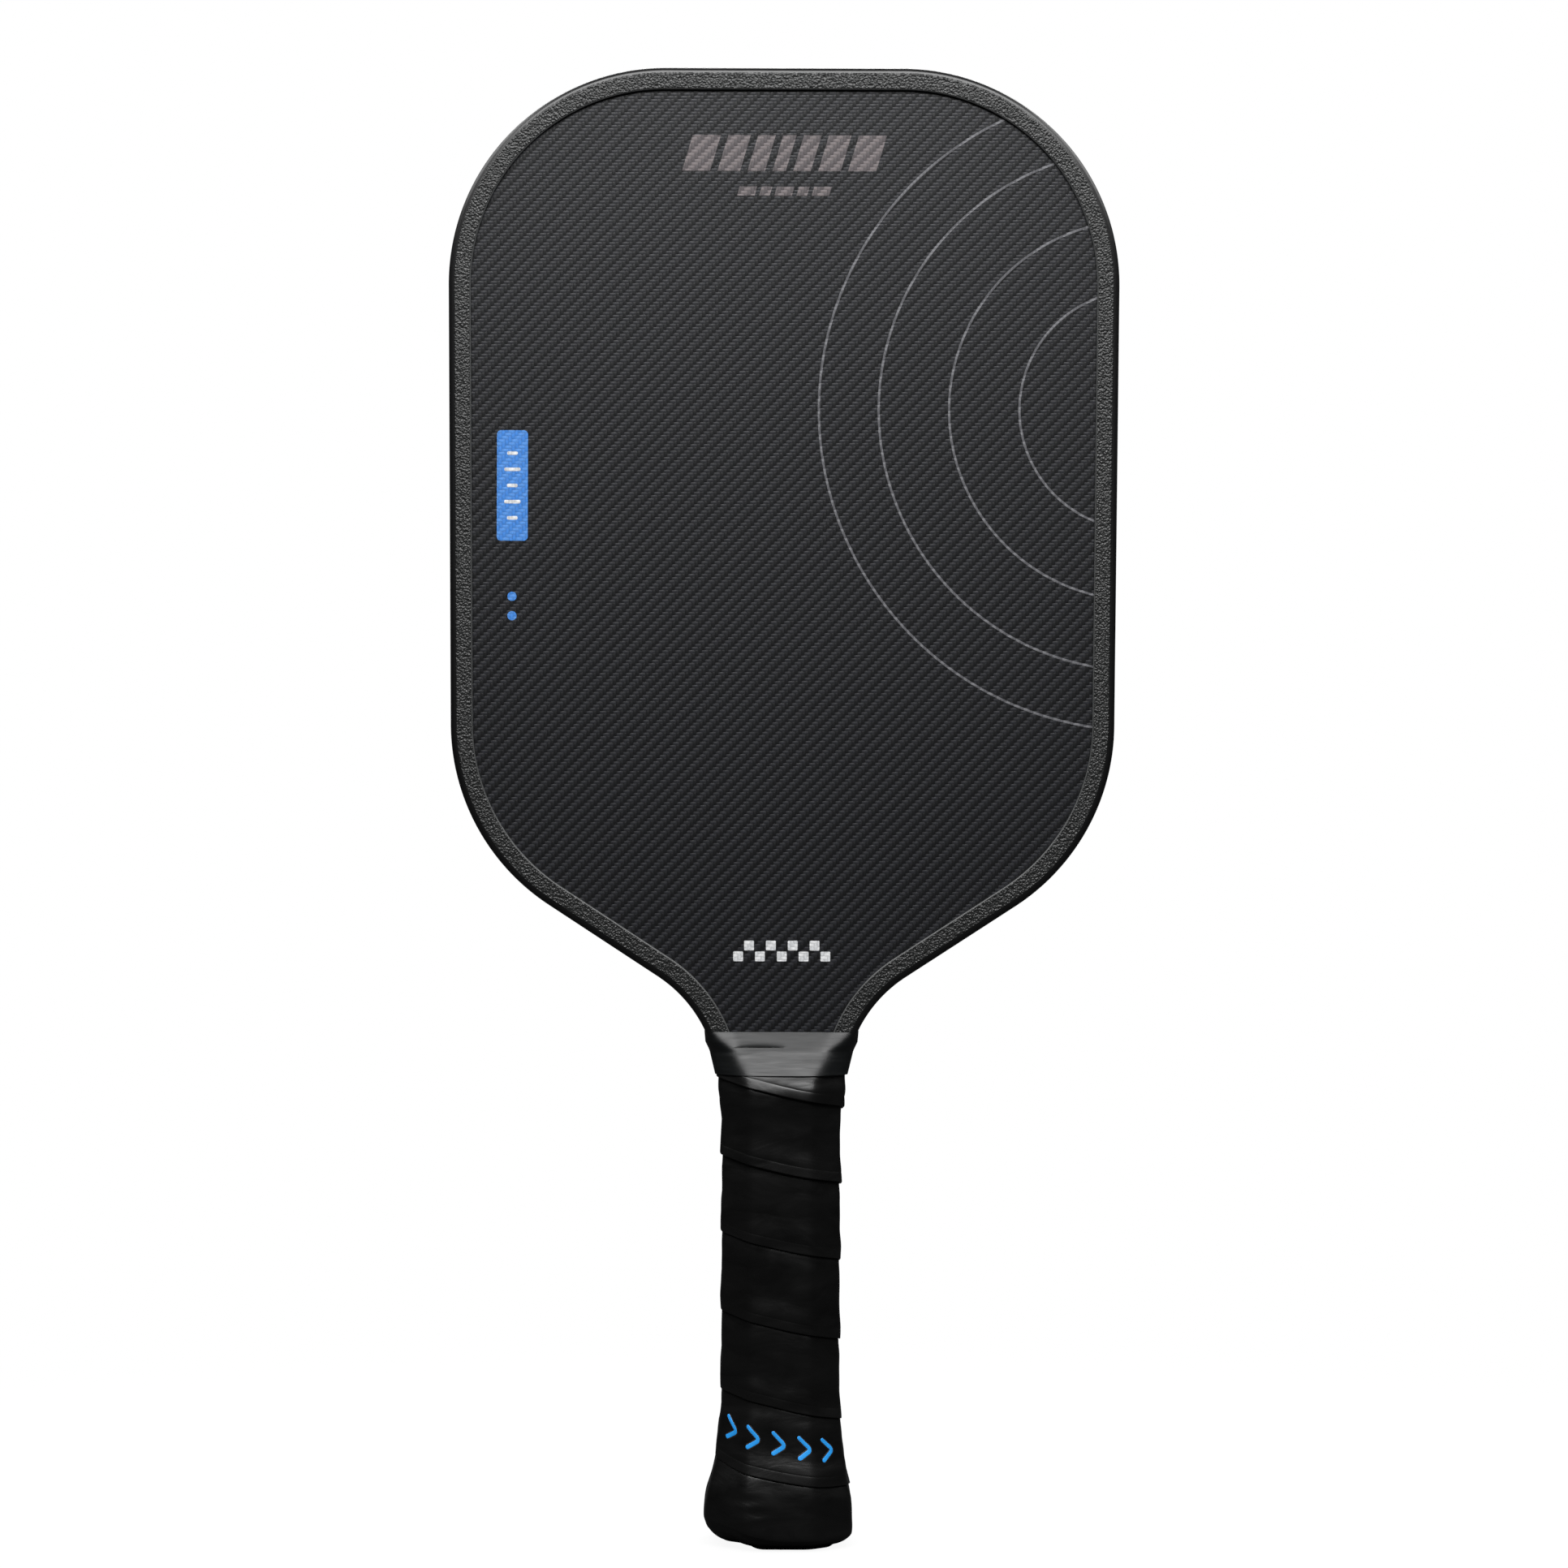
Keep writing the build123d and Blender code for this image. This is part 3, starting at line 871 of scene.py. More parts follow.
@dataclass(frozen=True)
class TapeCollar:
    """Stretch tape wound over the top of the grip and the guard's ends, with its folds."""

    shape: HandleShape = field(default_factory=HandleShape)
    outline: HeadOutline = field(default_factory=HeadOutline)
    bottom: float = 133.0
    grip_top: float = 139.5
    fold: float = 142.0
    top: float = 145.0
    thickness: float = 0.25
    clearance: float = 0.06
    ear: float = 1.0
    guard_half: float = 8.7
    nose_radius: float = 1.8
    under_grip: float = 2.315
    under_corner: float = 0.8
    corner_power: float = 18.0
    # the dip between the guard's lips
    dip: float = 0.6
    dip_edges: tuple[float, float] = (10.9, 14.6)
    dip_depths: tuple[float, float] = (4.0, 6.0)
    # the crease across the front
    crease_height: float = 140.9
    crease_middle: float = -6.1
    crease_half: float = 7.6
    crease_depth: float = 0.35
    crease_bow: float = 0.12
    crease_above: float = 0.35
    crease_below: float = 0.16
    # how finely it is sampled
    columns: int = 300
    walk_points: int = 3001
    fine_rows: tuple[float, float] = (140.0, 141.3)
    row_counts: tuple[int, int, int] = (21, 26, 16)

    def rows(self) -> Array:
        """Spaces the rows, close together at the crease.

        Returns:
            Their heights, from below.
        """
        low, mid, high = self.row_counts
        first, last = self.fine_rows
        parts = (
            np.linspace(self.bottom, first, low + 1)[:-1],
            np.linspace(first, last, mid + 1)[:-1],
            np.linspace(last, self.top, high),
        )
        return np.concatenate(parts)

    def distances(self, height: Array) -> tuple[Array, Array, Array]:
        """Measures the band's facets, straight between the four levels that shape the tape.

        The levels are its lower edge on the grip, the grip's end, the fold over the guard's ends,
        and the upper edge round the guard.

        Args:
            height: heights over the butt.

        Returns:
            The distances from the axis to the side, front and slanted facets.
        """
        levels = np.array([self.bottom, self.grip_top, self.fold, self.top])
        side, front, slant = self.shape.bridged(levels)
        side[:2] += self.under_grip
        front[0] += self.under_grip
        slant[:2] += np.array([self.under_grip, self.under_corner])
        guard = self.outline.half_width(levels[2:]) + self.clearance
        side[2:] = guard + np.array([self.ear, 0.0])
        front[3] = self.guard_half + self.clearance
        front[1:3] = np.interp(levels[1:3], levels[[0, 3]], front[[0, 3]])
        nx, ny = self.shape.slant
        nose = self.nose_radius
        slant[2:] = nx * (guard - nose) + ny * (front[3] - nose) + nose
        return tuple(np.interp(height, levels, d) for d in (side, front, slant))

    def surface(self, turns: Array, height: Array, lift: Array | float) -> Array:
        """Places points on the band, with its dip between the guard's lips and its crease.

        The crease is a ledge: its lift grows towards its line from above and drops off just below,
        along a line that bows by a few tenths.

        Args:
            turns: turns from the right side, over the front.
            height: heights over the butt.
            lift: distances out from the band's inside.

        Returns:
            The points, in millimetres.
        """
        side, front, slant = self.distances(height)
        distances = side + lift, front + lift, slant + lift
        x, y = self.shape.ring(turns, *distances, self.corner_power)
        dip = self.dip * (1 - smooth(np.abs(x), *self.dip_edges))
        share = np.clip((height - self.grip_top) / (self.top - self.grip_top), 0.0, 1.0)
        y = y - np.sign(y) * dip * share * smooth(np.abs(y), *self.dip_depths)
        share = (x - self.crease_middle) / self.crease_half
        size = np.clip(1 - share**2, 0.0, 1.0) * (y < 0)
        above = height - self.crease_height + self.crease_bow * share**2
        falling = np.clip(1 + above / self.crease_below, 0.0, 1.0)
        ledge = np.where(above > 0, np.exp(-above / self.crease_above), falling)
        y = y - self.crease_depth * size * ledge
        return np.stack([x, y, np.broadcast_to(height, x.shape)], axis=-1)

    def build(self, finish: "Finish") -> bpy.types.Object:
        """Closes an outer and an inner grid of turns by heights along both edges.

        Args:
            finish: the tape's material.

        Returns:
            The finished band.
        """
        fine = np.linspace(0.0, 1.0, self.walk_points)
        level = np.full_like(fine, self.fold)
        gone = walked(self.surface(fine, level, np.zeros_like(fine))[:, :2])
        distance = np.linspace(0.0, gone[-1], self.columns + 1)[:-1]
        turns = np.interp(distance, gone, fine)[None, :]
        heights = self.rows()[:, None]
        outer = self.surface(turns, heights, self.thickness)
        inner = self.surface(turns, heights, 0.0)
        rings = np.concatenate([outer, inner[::-1]], axis=0)
        points = rings.reshape(-1, 3)
        quads = grid_quads(len(rings) + 1, self.columns, ring=True)[:, ::-1] % len(points)
        piece = make_piece("finishing_tape_band", points, quads.tolist())
        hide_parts("finishing_tape")
        piece.data.materials.append(finish.material())
        return piece


# ---- prints --------------------------------------------------------------------------------------


class Face(Enum):
    """Which face of the head a print lies on, as the sign of its depth."""

    FRONT = -1
    BACK = 1


@dataclass(frozen=True)
class BarRow:
    """A row of leaning bars: the height of its foot, its own height, its bars and their gap."""

    foot: float
    height: float
    widths: tuple[float, ...]
    gap: float


@dataclass(frozen=True)
class FacePrint:
    """Ink printed straight on the weave, as a slab a few hundredths of a millimetre thick."""

    outline: HeadOutline = field(default_factory=HeadOutline)
    face: Face = Face.FRONT
    panel_half: float = 7.65
    ink: float = 0.03
    sunk: float = 0.01
    second_coat: float = 2.0
    second_sunk: float = 0.9
    hidden_under_lip: float = 4.2
    # the grey rings
    ring_centre: tuple[float, float] = (101.0, 322.0)
    ring_radii: tuple[float, ...] = (34.0, 54.0, 74.0, 91.0)
    ring_stroke: float = 0.65
    ring_points: int = 600
    # the warm bars
    bar_rows: tuple[BarRow, ...] = (
        BarRow(389.6, 10.2, (8.0, 6.4, 5.0, 3.8, 5.0, 6.4, 8.0), 2.1),
        BarRow(382.6, 2.6, (5.0, 3.0, 5.0, 3.0, 5.0), 1.3),
    )
    bar_slope: float = 0.3
    # the white check
    check_count: tuple[int, int] = (9, 2)
    check_pitch: float = 3.1
    check_gap: float = 0.3
    check_round: float = 0.3
    check_middle: tuple[float, float] = (0.0, 168.0)
    # the blue bar with its dots, and the white ticks on it
    column_x: float = -77.0
    bar_height: float = 300.0
    bar_size: tuple[float, float] = (8.8, 31.4)
    bar_round: float = 1.2
    dot_heights: tuple[float, ...] = (268.5, 263.0)
    dot_size: float = 2.6
    dot_round: float = 1.25
    tick_pitch: float = 4.6
    tick_widths: tuple[float, ...] = (3.0, 4.6, 3.0, 4.6, 3.0)
    tick_height: float = 1.0
    tick_round: float = 0.4
    arc_step: float = 0.15

    def slab(self, name: str, shapes: list[Array], finish: "Finish") -> bpy.types.Object:
        """Raises closed outlines to thin slabs.

        Args:
            name: the piece's name.
            shapes: outlines of x and z, anticlockwise as seen from the front.
            finish: the ink.

        Returns:
            One piece of all the slabs.
        """
        points, faces, count = [], [], 0
        for shape in shapes:
            n = len(shape)
            low = np.full(n, self.face.value * (self.panel_half - self.sunk))
            high = np.full(n, self.face.value * (self.panel_half + self.ink))
            points += [np.stack([shape[:, 0], y, shape[:, 1]], axis=1) for y in (low, high)]
            i = np.arange(n)
            k = (i + 1) % n
            sides = count + np.stack([i, k, k + n, i + n], axis=1)
            caps = [(count + i[::-1]).tolist(), (count + n + i).tolist()]
            solid = sides.tolist() + caps
            faces += solid if self.face is Face.FRONT else [f[::-1] for f in solid]
            count += 2 * n
        piece = make_piece(name, np.concatenate(points), faces)
        piece.data.shade_flat()
        piece.data.materials.append(finish.material())
        return piece

    def line(self, points: Array, width: float) -> Array:
        """Draws the outline of a stroke: each point moves off by half the width over the mitre.

        Args:
            points: the stroke's middle line.
            width: the stroke's width.

        Returns:
            The closed outline, along the right side and back along the left.
        """
        normal = left_of(np.diff(points, axis=0))
        before = np.concatenate([normal[:1], normal])
        after = np.concatenate([normal, normal[-1:]])
        mitre = (before + after) / (1 + (before * after).sum(axis=1, keepdims=True))
        return np.concatenate([points - mitre * width / 2, (points + mitre * width / 2)[::-1]])

    def rounded(
        self, middle: Array | tuple[float, float], size: tuple[float, float], radius: float
    ) -> Array:
        """Outline of a rectangle with rounded corners, by its middle, size and corner radius."""
        corners = np.array([(-1, -1), (1, -1), (1, 1), (-1, 1)]) * np.array(size) / 2 + middle
        return rounded_path(corners, np.full(4, radius), self.arc_step, closed=True)[0]

    def rings(self) -> list[Array]:
        """Draws arcs round one centre past the right edge, each ending under the guard's lip.

        Returns:
            The outline of each arc's stroke.
        """
        a = np.linspace(math.pi / 2, 3 * math.pi / 2, self.ring_points)
        unit = np.stack([np.cos(a), np.sin(a)], axis=1)
        shapes = []
        for radius in self.ring_radii:
            arc = np.array(self.ring_centre) + radius * unit
            run = np.flatnonzero(self.outline.depth(arc) > self.hidden_under_lip)
            shapes.append(self.line(arc[run[0]:run[-1] + 1], self.ring_stroke))
        return shapes

    def slanted_bars(self) -> list[Array]:
        """Draws rows of leaning bars of stepped widths under the top edge.

        Each bar is a rectangle whose corners move right by the slope times their height.

        Returns:
            The outline of each bar.
        """
        shapes = []
        for row in self.bar_rows:
            whole = sum(row.widths) + row.gap * (len(row.widths) - 1)
            x = -(whole + row.height * self.bar_slope) / 2
            for width in row.widths:
                unit = np.array([(0.0, 0.0), (1.0, 0.0), (1.0, 1.0), (0.0, 1.0)])
                bar = unit * (width, row.height)
                shapes.append(bar + bar[:, 1:] * (self.bar_slope, 0.0) + (x, row.foot))
                x += width + row.gap
        return shapes

    def checked_band(self) -> list[Array]:
        """Draws every second square of two rows, over the throat.

        Returns:
            The outline of each square.
        """
        across, up = self.check_count
        places = np.array([(i, j) for j in range(up) for i in range(across) if (i + j) % 2 == 0])
        steps = (places - ((across - 1) / 2, (up - 1) / 2)) * self.check_pitch
        side = self.check_pitch - self.check_gap
        size = (side, side)
        return [self.rounded(self.check_middle + at, size, self.check_round) for at in steps]

    def ticks(self) -> list[Array]:
        """Draws short level ticks up the blue bar, turn by turn narrow and wide.

        Returns:
            The outline of each tick.
        """
        first = self.bar_height - self.tick_pitch * (len(self.tick_widths) - 1) / 2
        shapes = []
        for k, width in enumerate(self.tick_widths):
            middle = (self.column_x, first + self.tick_pitch * k)
            shapes.append(self.rounded(middle, (width, self.tick_height), self.tick_round))
        return shapes

    def blue_column(self) -> list[Array]:
        """Draws the blue bar and the dots below it.

        Returns:
            The outline of each.
        """
        size = (self.dot_size, self.dot_size)
        dots = [self.rounded((self.column_x, z), size, self.dot_round) for z in self.dot_heights]
        bar = self.rounded((self.column_x, self.bar_height), self.bar_size, self.bar_round)
        return [bar] + dots

    def build(self, inks: dict[str, "Finish"]) -> list[bpy.types.Object]:
        """Lays every print on the front, each colour as its own piece.

        Args:
            inks: the material of each colour.

        Returns:
            The prints.
        """
        over = FacePrint(ink=self.ink * self.second_coat, sunk=-self.ink * self.second_sunk)
        return [
            self.slab("print_grey_rings", self.rings(), inks["grey"]),
            self.slab("print_warm_bars", self.slanted_bars(), inks["warm"]),
            self.slab("print_white_check", self.checked_band(), inks["white"]),
            self.slab("print_blue_bar", self.blue_column(), inks["blue"]),
            over.slab("print_white_ticks", self.ticks(), inks["white"]),
        ]


@dataclass(frozen=True)
class GripMarks:
    """Raised plain chevrons round the lowest full turn of the grip, each with a fine edge."""

    grip: CushionGrip = field(default_factory=CushionGrip)
    turn: float = 1.0
    base: float = 7.0
    height: float = 6.4
    point: float = 0.62
    point_round: float = 0.9
    stroke: float = 1.15
    rim: float = 0.28
    pitch: float = 7.6
    count: int = 5
    middle: float = -0.4
    raised: float = 0.14
    rim_raised: float = 0.35
    rim_sunk: float = 0.02
    root: float = 0.12
    roundness: float = 0.5
    least_taper: float = 0.02
    step: float = 0.22
    across: int = 9
    walk_points: int = 1501

    def strip_point(self, along: Array, w: Array, lift: Array) -> Array:
        """Maps a flat drawing onto the wound strip.

        Args:
            along: distance from the front's middle, rightwards.
            w: distance above the turn's lower edge.
            lift: height over the strip's outer surface.

        Returns:
            The points, in millimetres.
        """
        g = self.grip
        fine = np.linspace(0.0, 0.5, self.walk_points)
        turns = self.turn + fine
        gone = walked(g.place(turns, g.seam(turns) + self.base, np.full_like(fine, g.thickness)))
        front = np.interp(FRONT_TURN, fine, gone)
        turns = self.turn + np.interp(front - along, gone, fine)
        low = g.seam(turns)
        width = g.seam(turns + 1) + g.overlap - low
        out = g.outer(turns, w, width) + g.butt_form(turns, low + w) + lift
        return g.place(turns, low + w, out)

    def chevron(self, middle: float, width: float, low: float, high: float) -> Array:
        """Wraps a rounded bar, bent to a chevron, on the grip.

        The bar's middle line has two straight arms that meet in a small arc. Its section is a half
        superellipse that stands from low to high, and a quarter circle tapers both ends.

        Args:
            middle: the chevron's distance from the front's middle.
            width: the bar's width.
            low: its foot, over the strip's surface.
            high: its ridge, over the strip's surface.

        Returns:
            Rings of points, one for each sample of the middle line.
        """
        arm = self.height / 2
        tip = arm * self.point
        line = np.array([(-tip, arm), (tip, 0.0), (-tip, -arm)])
        radii = np.array([0.0, self.point_round, 0.0])
        points, _ = rounded_path(line, radii, self.step, closed=False)
        normal = left_of(np.gradient(points, axis=0))
        gone = walked(points)
        end = np.minimum(gone, gone[-1] - gone)
        left = 1 - np.clip(1 - end / (width / 2), 0, 1) ** 2
        taper = np.sqrt(np.clip(left, self.least_taper, 1.0))[:, None]
        a = np.linspace(0.0, math.pi, self.across)
        sideways = np.sign(np.cos(a)) * np.abs(np.cos(a)) ** self.roundness * width / 2
        up = np.sin(a) ** self.roundness
        flat = points[:, None, :] + normal[:, None, :] * (sideways * taper)[..., None]
        lift = low + (high - low) * up * taper
        flat = np.concatenate([flat, flat[:, -1:], flat[:, :1]], axis=1)
        lift = np.concatenate([lift, np.full((len(points), 2), low - self.root)], axis=1)
        return self.strip_point(middle + flat[..., 0], self.base + arm + flat[..., 1], lift)

    def build_row(
        self, name: str, width: float, low: float, high: float, finish: "Finish"
    ) -> bpy.types.Object:
        """Makes one piece of all the chevrons at one width and height.

        Args:
            name: the piece's name.
            width: the bars' width.
            low: their foot, over the strip's surface.
            high: their ridge, over the strip's surface.
            finish: their material.

        Returns:
            The piece.
        """
        points, faces, count = [], [], 0
        for k in range(self.count):
            middle = self.middle + (k - (self.count - 1) / 2) * self.pitch
            rings = self.chevron(middle, width, low, high)
            rows, cols = rings.shape[:2]
            quads = grid_quads(rows, cols, ring=True) + count
            first = (np.arange(cols)[::-1] + count).tolist()
            last = ((rows - 1) * cols + np.arange(cols) + count).tolist()
            points.append(rings.reshape(-1, 3))
            faces += quads.tolist() + [first, last]
            count += rows * cols
        piece = make_piece(name, np.concatenate(points), faces)
        piece.data.materials.append(finish.material())
        return piece

    def build(self, mark: "Finish", edge: "Finish") -> list[bpy.types.Object]:
        """Makes the thin edges and the marks that stand in them.

        Args:
            mark: the marks' material.
            edge: the edges' material.

        Returns:
            The two pieces.
        """
        wide, low = self.stroke + 2 * self.rim, -self.rim_sunk
        return [
            self.build_row("grip_mark_edges", wide, low, self.raised * self.rim_raised, edge),
            self.build_row("grip_marks", self.stroke, 0.0, self.raised, mark),
        ]


# ---- finishes ------------------------------------------------------------------------------------


@dataclass(frozen=True)
class Finish:
    """A finish with one colour and gloss, and a fine moulded texture."""

    name: str
    colour: str
    roughness: float
    ior: float = 1.5
    metallic: float = 0.0
    grain_mm: float = 1.2
    grain_depth_mm: float = 0.01
    variation: float = 0.12

    def material(self) -> bpy.types.Material:
        """Makes the material once: its pattern, and the shader that takes it.

        Returns:
            The material of this finish's name.
        """
        found = bpy.data.materials.get(self.name)
        if found is not None:
            return found
        material = bpy.data.materials.new(self.name)
        material.use_nodes = True
        tree = material.node_tree
        tree.nodes.clear()
        plain_sockets = {"Roughness": self.roughness, "IOR": self.ior, "Metallic": self.metallic}
        shader = add_node(tree, "BsdfPrincipled", plain_sockets | self.draw(tree))
        add_node(tree, "OutputMaterial", {"Surface": shader.outputs[0]})
        return material

    def draw(self, tree: Tree) -> dict[str, Link]:
        """Draws a mottle in the colour and a fine bump, both from one noise in object space.

        Args:
            tree: the material's nodes.

        Returns:
            What to link to the shader, by its sockets' names.
        """
        where = add_node(tree, "TexCoord").outputs["Object"]
        noise = add_node(tree, "TexNoise", {
            "Vector": where, "Scale": 1 / (self.grain_mm * MM), "Detail": 3.0,
        }).outputs["Fac"]
        shades = 1 - self.variation, 1 + self.variation
        bump = add_node(tree, "Bump", {"Height": noise, "Distance": self.grain_depth_mm * MM})
        return {
            "Base Color": self.mottle(tree, noise, self.colour, shades),
            "Normal": bump.outputs[0],
        }

    def mottle(self, tree: Tree, noise: Link, colour: str, shades: tuple[float, float]) -> Link:
        """Blends between a darker and a lighter shade of a colour over the span of a noise.

        Args:
            tree: the material's nodes.
            noise: the noise.
            colour: the middle colour, in sRGB.
            shades: what the dark and the light spots have of it.

        Returns:
            The mottled colour.
        """
        share = add_node(tree, "MapRange", {
            "Value": noise, "From Min": NOISE_LOW, "From Max": NOISE_HIGH,
        }).outputs[0]
        dark, light = (
            tuple(min(1.0, c * part) for c in linear(colour)[:3]) + (1.0,) for part in shades
        )
        mix = add_node(tree, "Mix", {0: share, MIX_A: dark, MIX_B: light}, data_type="RGBA")
        return mix.outputs[2]


@dataclass(frozen=True)
class CarbonTwill(Finish):
    """Raw 2/2 twill carbon cloth under a thin textured resin: fine ribs that rise to the right.

    Warp threads run up the face and weft threads across. A thread shows where
    (column - row) modulo 4 is below 2, and each float is a rounded ridge two threads long.
    """

    thread_x_mm: float = 0.94
    thread_z_mm: float = 0.90
    skew_degrees: float = 0.65
    wobble_scale: float = 60.0
    wobble_threads: tuple[float, float] = (0.5, 0.35)
    # the weft's colour, painted paler than the warp's as the sheen it catches from above
    weft_colour: str = "#222328"
    relief_mm: float = 0.05
    grit_share: float = 0.35
    # the share of the colour left in the deepest hollows: painted shade between the threads
    hollow: float = 0.45
    warp_roughness: float = -0.05
    ink_share: float = 0.0

    def weave(self, tree: Tree) -> tuple[Link, Link]:
        """Draws the cloth's pattern.

        A thread's ridge is a sine across its width times a sine along its float of two threads,
        and the height is the square root of the ridge on top.

        Args:
            tree: the material's nodes.

        Returns:
            1 where a warp thread is on top and 0 where a weft is, and the height of the surface.
        """
        where = add_node(tree, "TexCoord").outputs["Object"]
        turned = add_node(tree, "Mapping", {
            "Vector": where,
            "Rotation": (0.0, math.radians(self.skew_degrees), 0.0),
            "Scale": (1 / (self.thread_x_mm * MM), 1.0, 1 / (self.thread_z_mm * MM)),
        }).outputs[0]
        wobble = add_node(tree, "TexNoise", {
            "Vector": where, "Scale": self.wobble_scale, "Detail": 1.0,
        })
        axes = add_node(tree, "SeparateXYZ", {"Vector": turned}).outputs
        known = {"threads_x": axes["X"], "threads_z": axes["Z"], "wobble": wobble.outputs["Fac"]}
        # each row is a new value's name, an operation, and its terms by name or as numbers
        for name, operation, *terms in (
            ("x", "MULTIPLY_ADD", "wobble", self.wobble_threads[0], "threads_x"),
            ("z", "MULTIPLY_ADD", "wobble", self.wobble_threads[1], "threads_z"),
            ("column", "FLOOR", "x"),
            ("row", "FLOOR", "z"),
            ("across", "SUBTRACT", "x", "column"),
            ("up", "SUBTRACT", "z", "row"),
            ("lag", "SUBTRACT", "column", "row"),
            ("phase", "FLOORED_MODULO", "lag", 4.0),
            # the phase is a whole number from 0 to 3, so 1.5 parts its first two from its last
            ("warp", "LESS_THAN", "phase", 1.5),
            ("warp_start", "SUBTRACT", 1.0, "phase"),
            ("warp_run", "ADD", "warp_start", "up"),
            ("warp_angle", "MULTIPLY", "warp_run", math.pi / 2),
            ("warp_float", "SINE", "warp_angle"),
            ("warp_turn", "MULTIPLY", "across", math.pi),
            ("warp_round", "SINE", "warp_turn"),
            ("warp_ridge", "MULTIPLY", "warp_round", "warp_float"),
            ("weft_start", "SUBTRACT", "phase", 2.0),
            ("weft_run", "ADD", "weft_start", "across"),
            ("weft_angle", "MULTIPLY", "weft_run", math.pi / 2),
            ("weft_float", "SINE", "weft_angle"),
            ("weft_turn", "MULTIPLY", "up", math.pi),
            ("weft_round", "SINE", "weft_turn"),
            ("weft_ridge", "MULTIPLY", "weft_round", "weft_float"),
            # the warp's ridge where it is on top, and else the weft's
            ("warp_more", "SUBTRACT", "warp_ridge", "weft_ridge"),
            ("ridge", "MULTIPLY_ADD", "warp", "warp_more", "weft_ridge"),
            ("crest", "MAXIMUM", "ridge", 0.0),
            ("height", "POWER", "crest", 0.5),
        ):
            inputs = {
                k: known[term] if isinstance(term, str) else term for k, term in enumerate(terms)
            }
            known[name] = add_node(tree, "Math", inputs, operation=operation).outputs[0]
        return known["warp"], known["height"]

    def draw(self, tree: Tree) -> dict[str, Link]:
        """Draws a weft painted paler as its sheen, a darker warp, painted shade in hollows, and a
        weave and grit bump.

        Args:
            tree: the material's nodes.

        Returns:
            What to link to the shader, by its sockets' names.
        """
        warp, height = self.weave(tree)
        where = add_node(tree, "TexCoord").outputs["Object"]
        grit = add_node(tree, "TexNoise", {
            "Vector": where, "Scale": 1 / (self.grain_mm * MM), "Detail": 2.0,
        }).outputs["Fac"]
        # painted sheen: where the weft is on top the colour is paler, standing in for the light it
        # catches
        threads = add_node(tree, "Mix", {
            0: warp, MIX_A: linear(self.weft_colour), MIX_B: linear(self.colour),
        }, data_type="RGBA").outputs[2]
        # painted shade: the colour darkens towards the hollows between the threads, less where ink
        # fills them
        depth = add_node(tree, "MapRange", {
            "Value": height, "To Min": self.hollow + self.ink_share / 2, "To Max": 1.0,
        }).outputs[0]
        speck = add_node(tree, "MapRange", {
            "Value": grit, "From Min": NOISE_LOW, "From Max": NOISE_HIGH,
            "To Min": 1 - self.variation, "To Max": 1 + self.variation,
        }).outputs[0]
        level = add_node(tree, "Math", {0: depth, 1: speck}, operation="MULTIPLY").outputs[0]
        tint = add_node(tree, "VectorMath", {0: threads, "Scale": level}, operation="SCALE")
        rough = add_node(tree, "Math", {
            0: warp, 1: self.warp_roughness, 2: self.roughness,
        }, operation="MULTIPLY_ADD")
        relief = add_node(tree, "Math", {
            0: grit, 1: self.grit_share, 2: height,
        }, operation="MULTIPLY_ADD").outputs[0]
        bump = add_node(tree, "Bump", {"Height": relief, "Distance": self.relief_mm * MM})
        return {
            "Base Color": tint.outputs[0],
            "Roughness": rough.outputs[0],
            "Normal": bump.outputs[0],
        }


